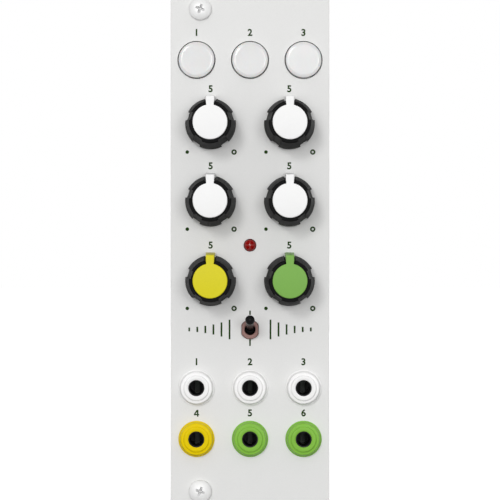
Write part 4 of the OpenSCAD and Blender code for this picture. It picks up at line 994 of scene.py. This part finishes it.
def make_solder():
    """Solder joints behind both boards."""
    joint = turned(JOINT_SIDE, JOINT_STEPS)
    joint.transform(Matrix.Rotation(pi, 4, "Y"))
    places = around(KNOB_PLACES.values(), POT_PINS) + around(BUTTON_PLACES.values(), SWITCH_LEGS)
    places += around(JACK_PLACES, JACK_PINS) + around([LAMP_PLACE], LAMP_LEADS)
    places += around([TOGGLE_PLACE], TOGGLE_PINS)
    control = set_out(joint, places, "tinned", CONTROL_BACK)
    main = set_out(joint, STRIP_PLACES, "tinned", MAIN_BACK)
    piece("solder_joints", joined(control, main), "tinned", smooth=JOINT_SMOOTH)


# Tracks on the main board, drawn as seen from behind; most have a mirror image on its other half
TRACK_T = 0.035
SIGNAL_W, POWER_W = 0.3, 1.3
LEAST_RUN = 0.05
# count, then first x, pitch and y where the tracks start and where they end, and the height of their bend
MIRRORED_FANS = [
    (6, (1.2, 0.8, 18.3), (3.2, 1.27, 24.9), 19.2),
    (5, (4.46, 1.27, 31.1), (4.46, 1.27, 34.9), 33),
]
MIDDLE_FAN = (12, (-4.4, 0.8, 1.7), (-6.985, 1.27, -5.2), 0.6)
# this one lies on its side: x and y change places
STRIP_FAN = (STRIP_PINS, (4.4, 1.6, 8.5), (1.11, PIN_PITCH, STRIP_X), 10.2)
SIGNAL_PATH = [(7, 41.2), (7, 45), (11, 49), (11, 52)]
POWER_PATHS = [
    [(14.6, -38), (14.6, -36), (13.5, -34.9)],
    [(4.5, -28.2), (4.5, -24), (9, -19.5), (9, -14)],
    [(13.5, -28.2), (13.5, -18), (15.2, -16.3)],
    [(15.2, -16.3), (15.2, -3)],
]
CRYSTAL_PATHS = [[(-8.3, y), (-9.4, y)] for y in (7.6, 12.4)]
STEPPED_HOLES = [(-5.9 + 1.43 * i, -17.9 - 0.5 * i) for i in range(8)]
STEPPED_SLANT, STEPPED_TOP = 0.9, -14.6
HOLE_SIDE = [(0.16, 0), (0.34, 0), (0.34, 0.05), (0.16, 0.05)]
HOLE_SIDES = 12


def track(points, width):
    """A flat copper track along points, with mitred bends."""
    path = [Vector(point) for point in points]
    left, right = [], []
    for i, here in enumerate(path):
        back = (here - path[i - 1]).normalized() if i else None
        ahead = (path[i + 1] - here).normalized() if i + 1 < len(path) else None
        along = ((back or ahead) + (ahead or back)).normalized()
        side = Vector((-along.y, along.x))
        reach = width / 2 / along.dot(back or ahead)
        left.append(here + side * reach)
        right.append(here - side * reach)
    return extruded([tuple(p) for p in left + right[::-1]], 0, TRACK_T)


def fan(count, start, end, bend):
    """Paths from one row of points up or down to another, with a slanted stretch from the bend."""
    paths = []
    for i in range(count):
        (x0, y0), (x1, y1) = ((x + pitch * i, y) for x, pitch, y in (start, end))
        run = abs(x1 - x0) * (1 if y1 > y0 else -1)
        slanted = [(x0, bend), (x1, bend + run)] if abs(run) >= LEAST_RUN else []
        paths.append([(x0, y0), *slanted, (x1, y1)])
    return paths


def mirrored(*paths):
    """Paths and their mirror images."""
    return [[(side * x, y) for x, y in path] for path in paths for side in (-1, 1)]


def make_tracks():
    """Copper tracks under the main board's mask, and the plated holes where some of them end."""
    signals = mirrored(SIGNAL_PATH, *[path for layout in MIRRORED_FANS for path in fan(*layout)])
    signals += fan(*MIDDLE_FAN) + [[(y, x) for x, y in path] for path in fan(*STRIP_FAN)] + CRYSTAL_PATHS
    for x, y in STEPPED_HOLES:
        above = x + STEPPED_SLANT
        signals.append([(above, STEPPED_TOP), (above, y + STEPPED_SLANT), (x, y)])
    tracks = [track(path, SIGNAL_W) for path in signals]
    tracks += [track(path, POWER_W) for path in mirrored(*POWER_PATHS)]
    piece("board_tracks", rearward(joined(*tracks)), "masked_copper")
    places = STEPPED_HOLES + [path[-1] for path in mirrored(SIGNAL_PATH, POWER_PATHS[-1])]
    rear_piece("board_plated_holes", turned(HOLE_SIDE, HOLE_SIDES, True), places, "gold_pins")


# Chip resistors: rows are y, first x, last x and count; edges are a slab's corner and edge
RESISTOR_L, RESISTOR_W, RESISTOR_T = 1.6, 0.85, 0.5
RESISTOR_END, RESISTOR_STEP = 0.3, 0.02
CORE_EDGES, END_EDGES = (0.04, 0.03), (0.06, 0.05)
RESISTOR_ROWS = [
    (22.4, -12, 12, 9),
    (33, -13.2, 13.2, 5),
    (45.6, -13, 13, 10),
    (-19.9, 9.5, 14, 2),
    (-24.2, -11, 11, 7),
]
RESISTOR_SEED, RESISTOR_SHARE, RESISTOR_STRAY = 7, 0.85, 0.25


def make_resistors():
    """Small chip resistors on the main board's rear face, in loose rows."""
    places, turns = [], []
    draw = random.Random(RESISTOR_SEED)
    for y, start, end, count in RESISTOR_ROWS:
        for i in range(count):
            if draw.random() < RESISTOR_SHARE:
                stray = draw.uniform(-RESISTOR_STRAY, RESISTOR_STRAY)
                places.append((start + (end - start) * i / (count - 1), y + stray))
                turns.append(draw.choice((0, 90)))
    core_l = RESISTOR_L - 2 * RESISTOR_END + RESISTOR_STEP
    core_top = RESISTOR_T - RESISTOR_STEP
    core = slab(core_l, RESISTOR_W, RESISTOR_STEP, core_top, *CORE_EDGES, steps=1)
    end = slab(RESISTOR_END, RESISTOR_W + RESISTOR_STEP, 0, RESISTOR_T, *END_EDGES, steps=1)
    out = (RESISTOR_L - RESISTOR_END) / 2
    ends = joined(moved(end, x=out), moved(end, x=-out))
    rear_piece("chip_resistors", core, places, "chip_black", turns=turns)
    rear_piece("chip_resistor_ends", ends, places, "tinned", turns=turns)


def make_boards():
    """The two boards, what joins them, the power header and the crystal."""
    dress("dull_mask", "control_board")
    dress("solder_mask", "main_board")
    dress("gold_pins", "board_pins")
    softened("power_pins", "power_pins_drawn", "gold_pins", 0.12, 1)
    softened("board_spacers", "board_spacers_turned", "brass", 0.2)
    softened("board_screws", "board_screws_turned", "nickel", 0.08)
    softened("board_sockets", "board_sockets_moulded", "black_mould", 0.12)
    softened("board_strips", "board_strips_moulded", "black_mould", 0.12)
    softened("power_header", "power_header_moulded", "black_mould", 0.15)
    softened("crystal", "crystal_can", "can_metal", 0.22, 3)


make_panel()
make_print()
make_rail_screws()
make_knobs()
make_buttons()
make_rings()
make_lamp()
make_toggle()
make_pots()
make_boards()
make_chips()
make_capacitors()
make_solder()
make_tracks()
make_resistors()


# Studio: pale floor, white surroundings, three lamps before the panel and one behind
CAMERA_AWAY = 0.722
FRAME_H = 0.1271
SENSOR = 36
CLIP_START = 0.01
FLOOR_SIZE = 8
LIGHT_BELOW, LIGHT_ABOVE = 0.05, 0.75
FLOOR_COLOUR = (0.25, 0.25, 0.25, 1)
FLOOR_GLOW = 0.9
# place, size and power; the front lamps stand near the camera's axis, which keeps shadows short
LAMPS = {
    "key": ((-0.3, -1.25, 0.4), 0.22, 3.9),
    "left": ((-0.28, -1.25, 0.1), 0.36, 3.1),
    "right": ((0.28, -1.25, 0.1), 0.36, 4.7),
    "back": ((0.4, 1.2, 0.5), 1.0, 4),
}


def seen_directly(tree):
    """1 for rays from the camera, a mirror or a clear body, else 0."""
    path = add_node(tree, "ShaderNodeLightPath")
    total = maths(tree, "ADD", path["Is Camera Ray"], path["Is Glossy Ray"])
    total = maths(tree, "ADD", total, path["Is Transmission Ray"])
    return maths(tree, "MINIMUM", total, 1.0)


def make_floor():
    """A wide pale floor under the panel's lower edge."""
    material = bpy.data.materials.new("floor")
    material.use_nodes = True
    tree = material.node_tree
    tree.nodes.clear()
    matt = add_node(tree, "ShaderNodeBsdfDiffuse", {"Color": FLOOR_COLOUR})
    strength = maths(tree, "MULTIPLY", seen_directly(tree), FLOOR_GLOW)
    glow = add_node(tree, "ShaderNodeEmission", {"Strength": strength})
    both = add_node(tree, "ShaderNodeAddShader", {0: matt[0], 1: glow[0]})
    add_node(tree, "ShaderNodeOutputMaterial", {"Surface": both[0]})
    mesh = bpy.data.meshes.new("floor")
    corners = rectangle(FLOOR_SIZE, FLOOR_SIZE, 0)
    mesh.from_pydata([(x, y, cad_low.z) for x, y in corners], [], [(0, 1, 2, 3)])
    mesh.materials.append(material)
    floor = linked(mesh, "floor")


def make_surroundings():
    """White where it is seen; where it lights the object, weaker, and more so from below."""
    world = bpy.data.worlds.new("surroundings")
    scene.world = world
    world.use_nodes = True
    tree = world.node_tree
    tree.nodes.clear()
    way = add_node(tree, "ShaderNodeTexCoord")["Generated"]
    height = add_node(tree, "ShaderNodeSeparateXYZ", {0: way})["Z"]
    light = spread(tree, height, (-1, 1), LIGHT_BELOW, LIGHT_ABOVE)
    strength = spread(tree, seen_directly(tree), (0, 1), light, 1.0)
    back = add_node(tree, "ShaderNodeBackground", {"Color": (1, 1, 1, 1), "Strength": strength})
    add_node(tree, "ShaderNodeOutputWorld", {"Surface": back[0]})


def make_studio_lamp(name, place, size, power):
    """A square soft lamp aimed at the panel's middle."""
    light = bpy.data.lights.new(name, "AREA")
    light.energy = power
    light.size = size
    lamp = linked(light, name)
    lamp.location = place
    aim = Vector((MID_X * MM, 0, 0)) - Vector(place)
    lamp.rotation_euler = aim.to_track_quat("-Z", "Y").to_euler()


def make_camera():
    """Square on to the panel's middle, as far off and as wide as the photograph's view."""
    data = bpy.data.cameras.new("camera")
    data.sensor_width = SENSOR
    data.lens = SENSOR * (CAMERA_AWAY - PANEL_T * MM) / FRAME_H
    data.clip_start = CLIP_START
    camera = linked(data, "camera")
    camera.location = (MID_X * MM, -CAMERA_AWAY, 0)
    camera.rotation_euler = (pi / 2, 0, 0)
    scene.camera = camera


make_floor()
make_surroundings()
for lamp_name, setting in LAMPS.items():
    make_studio_lamp(lamp_name, *setting)
make_camera()
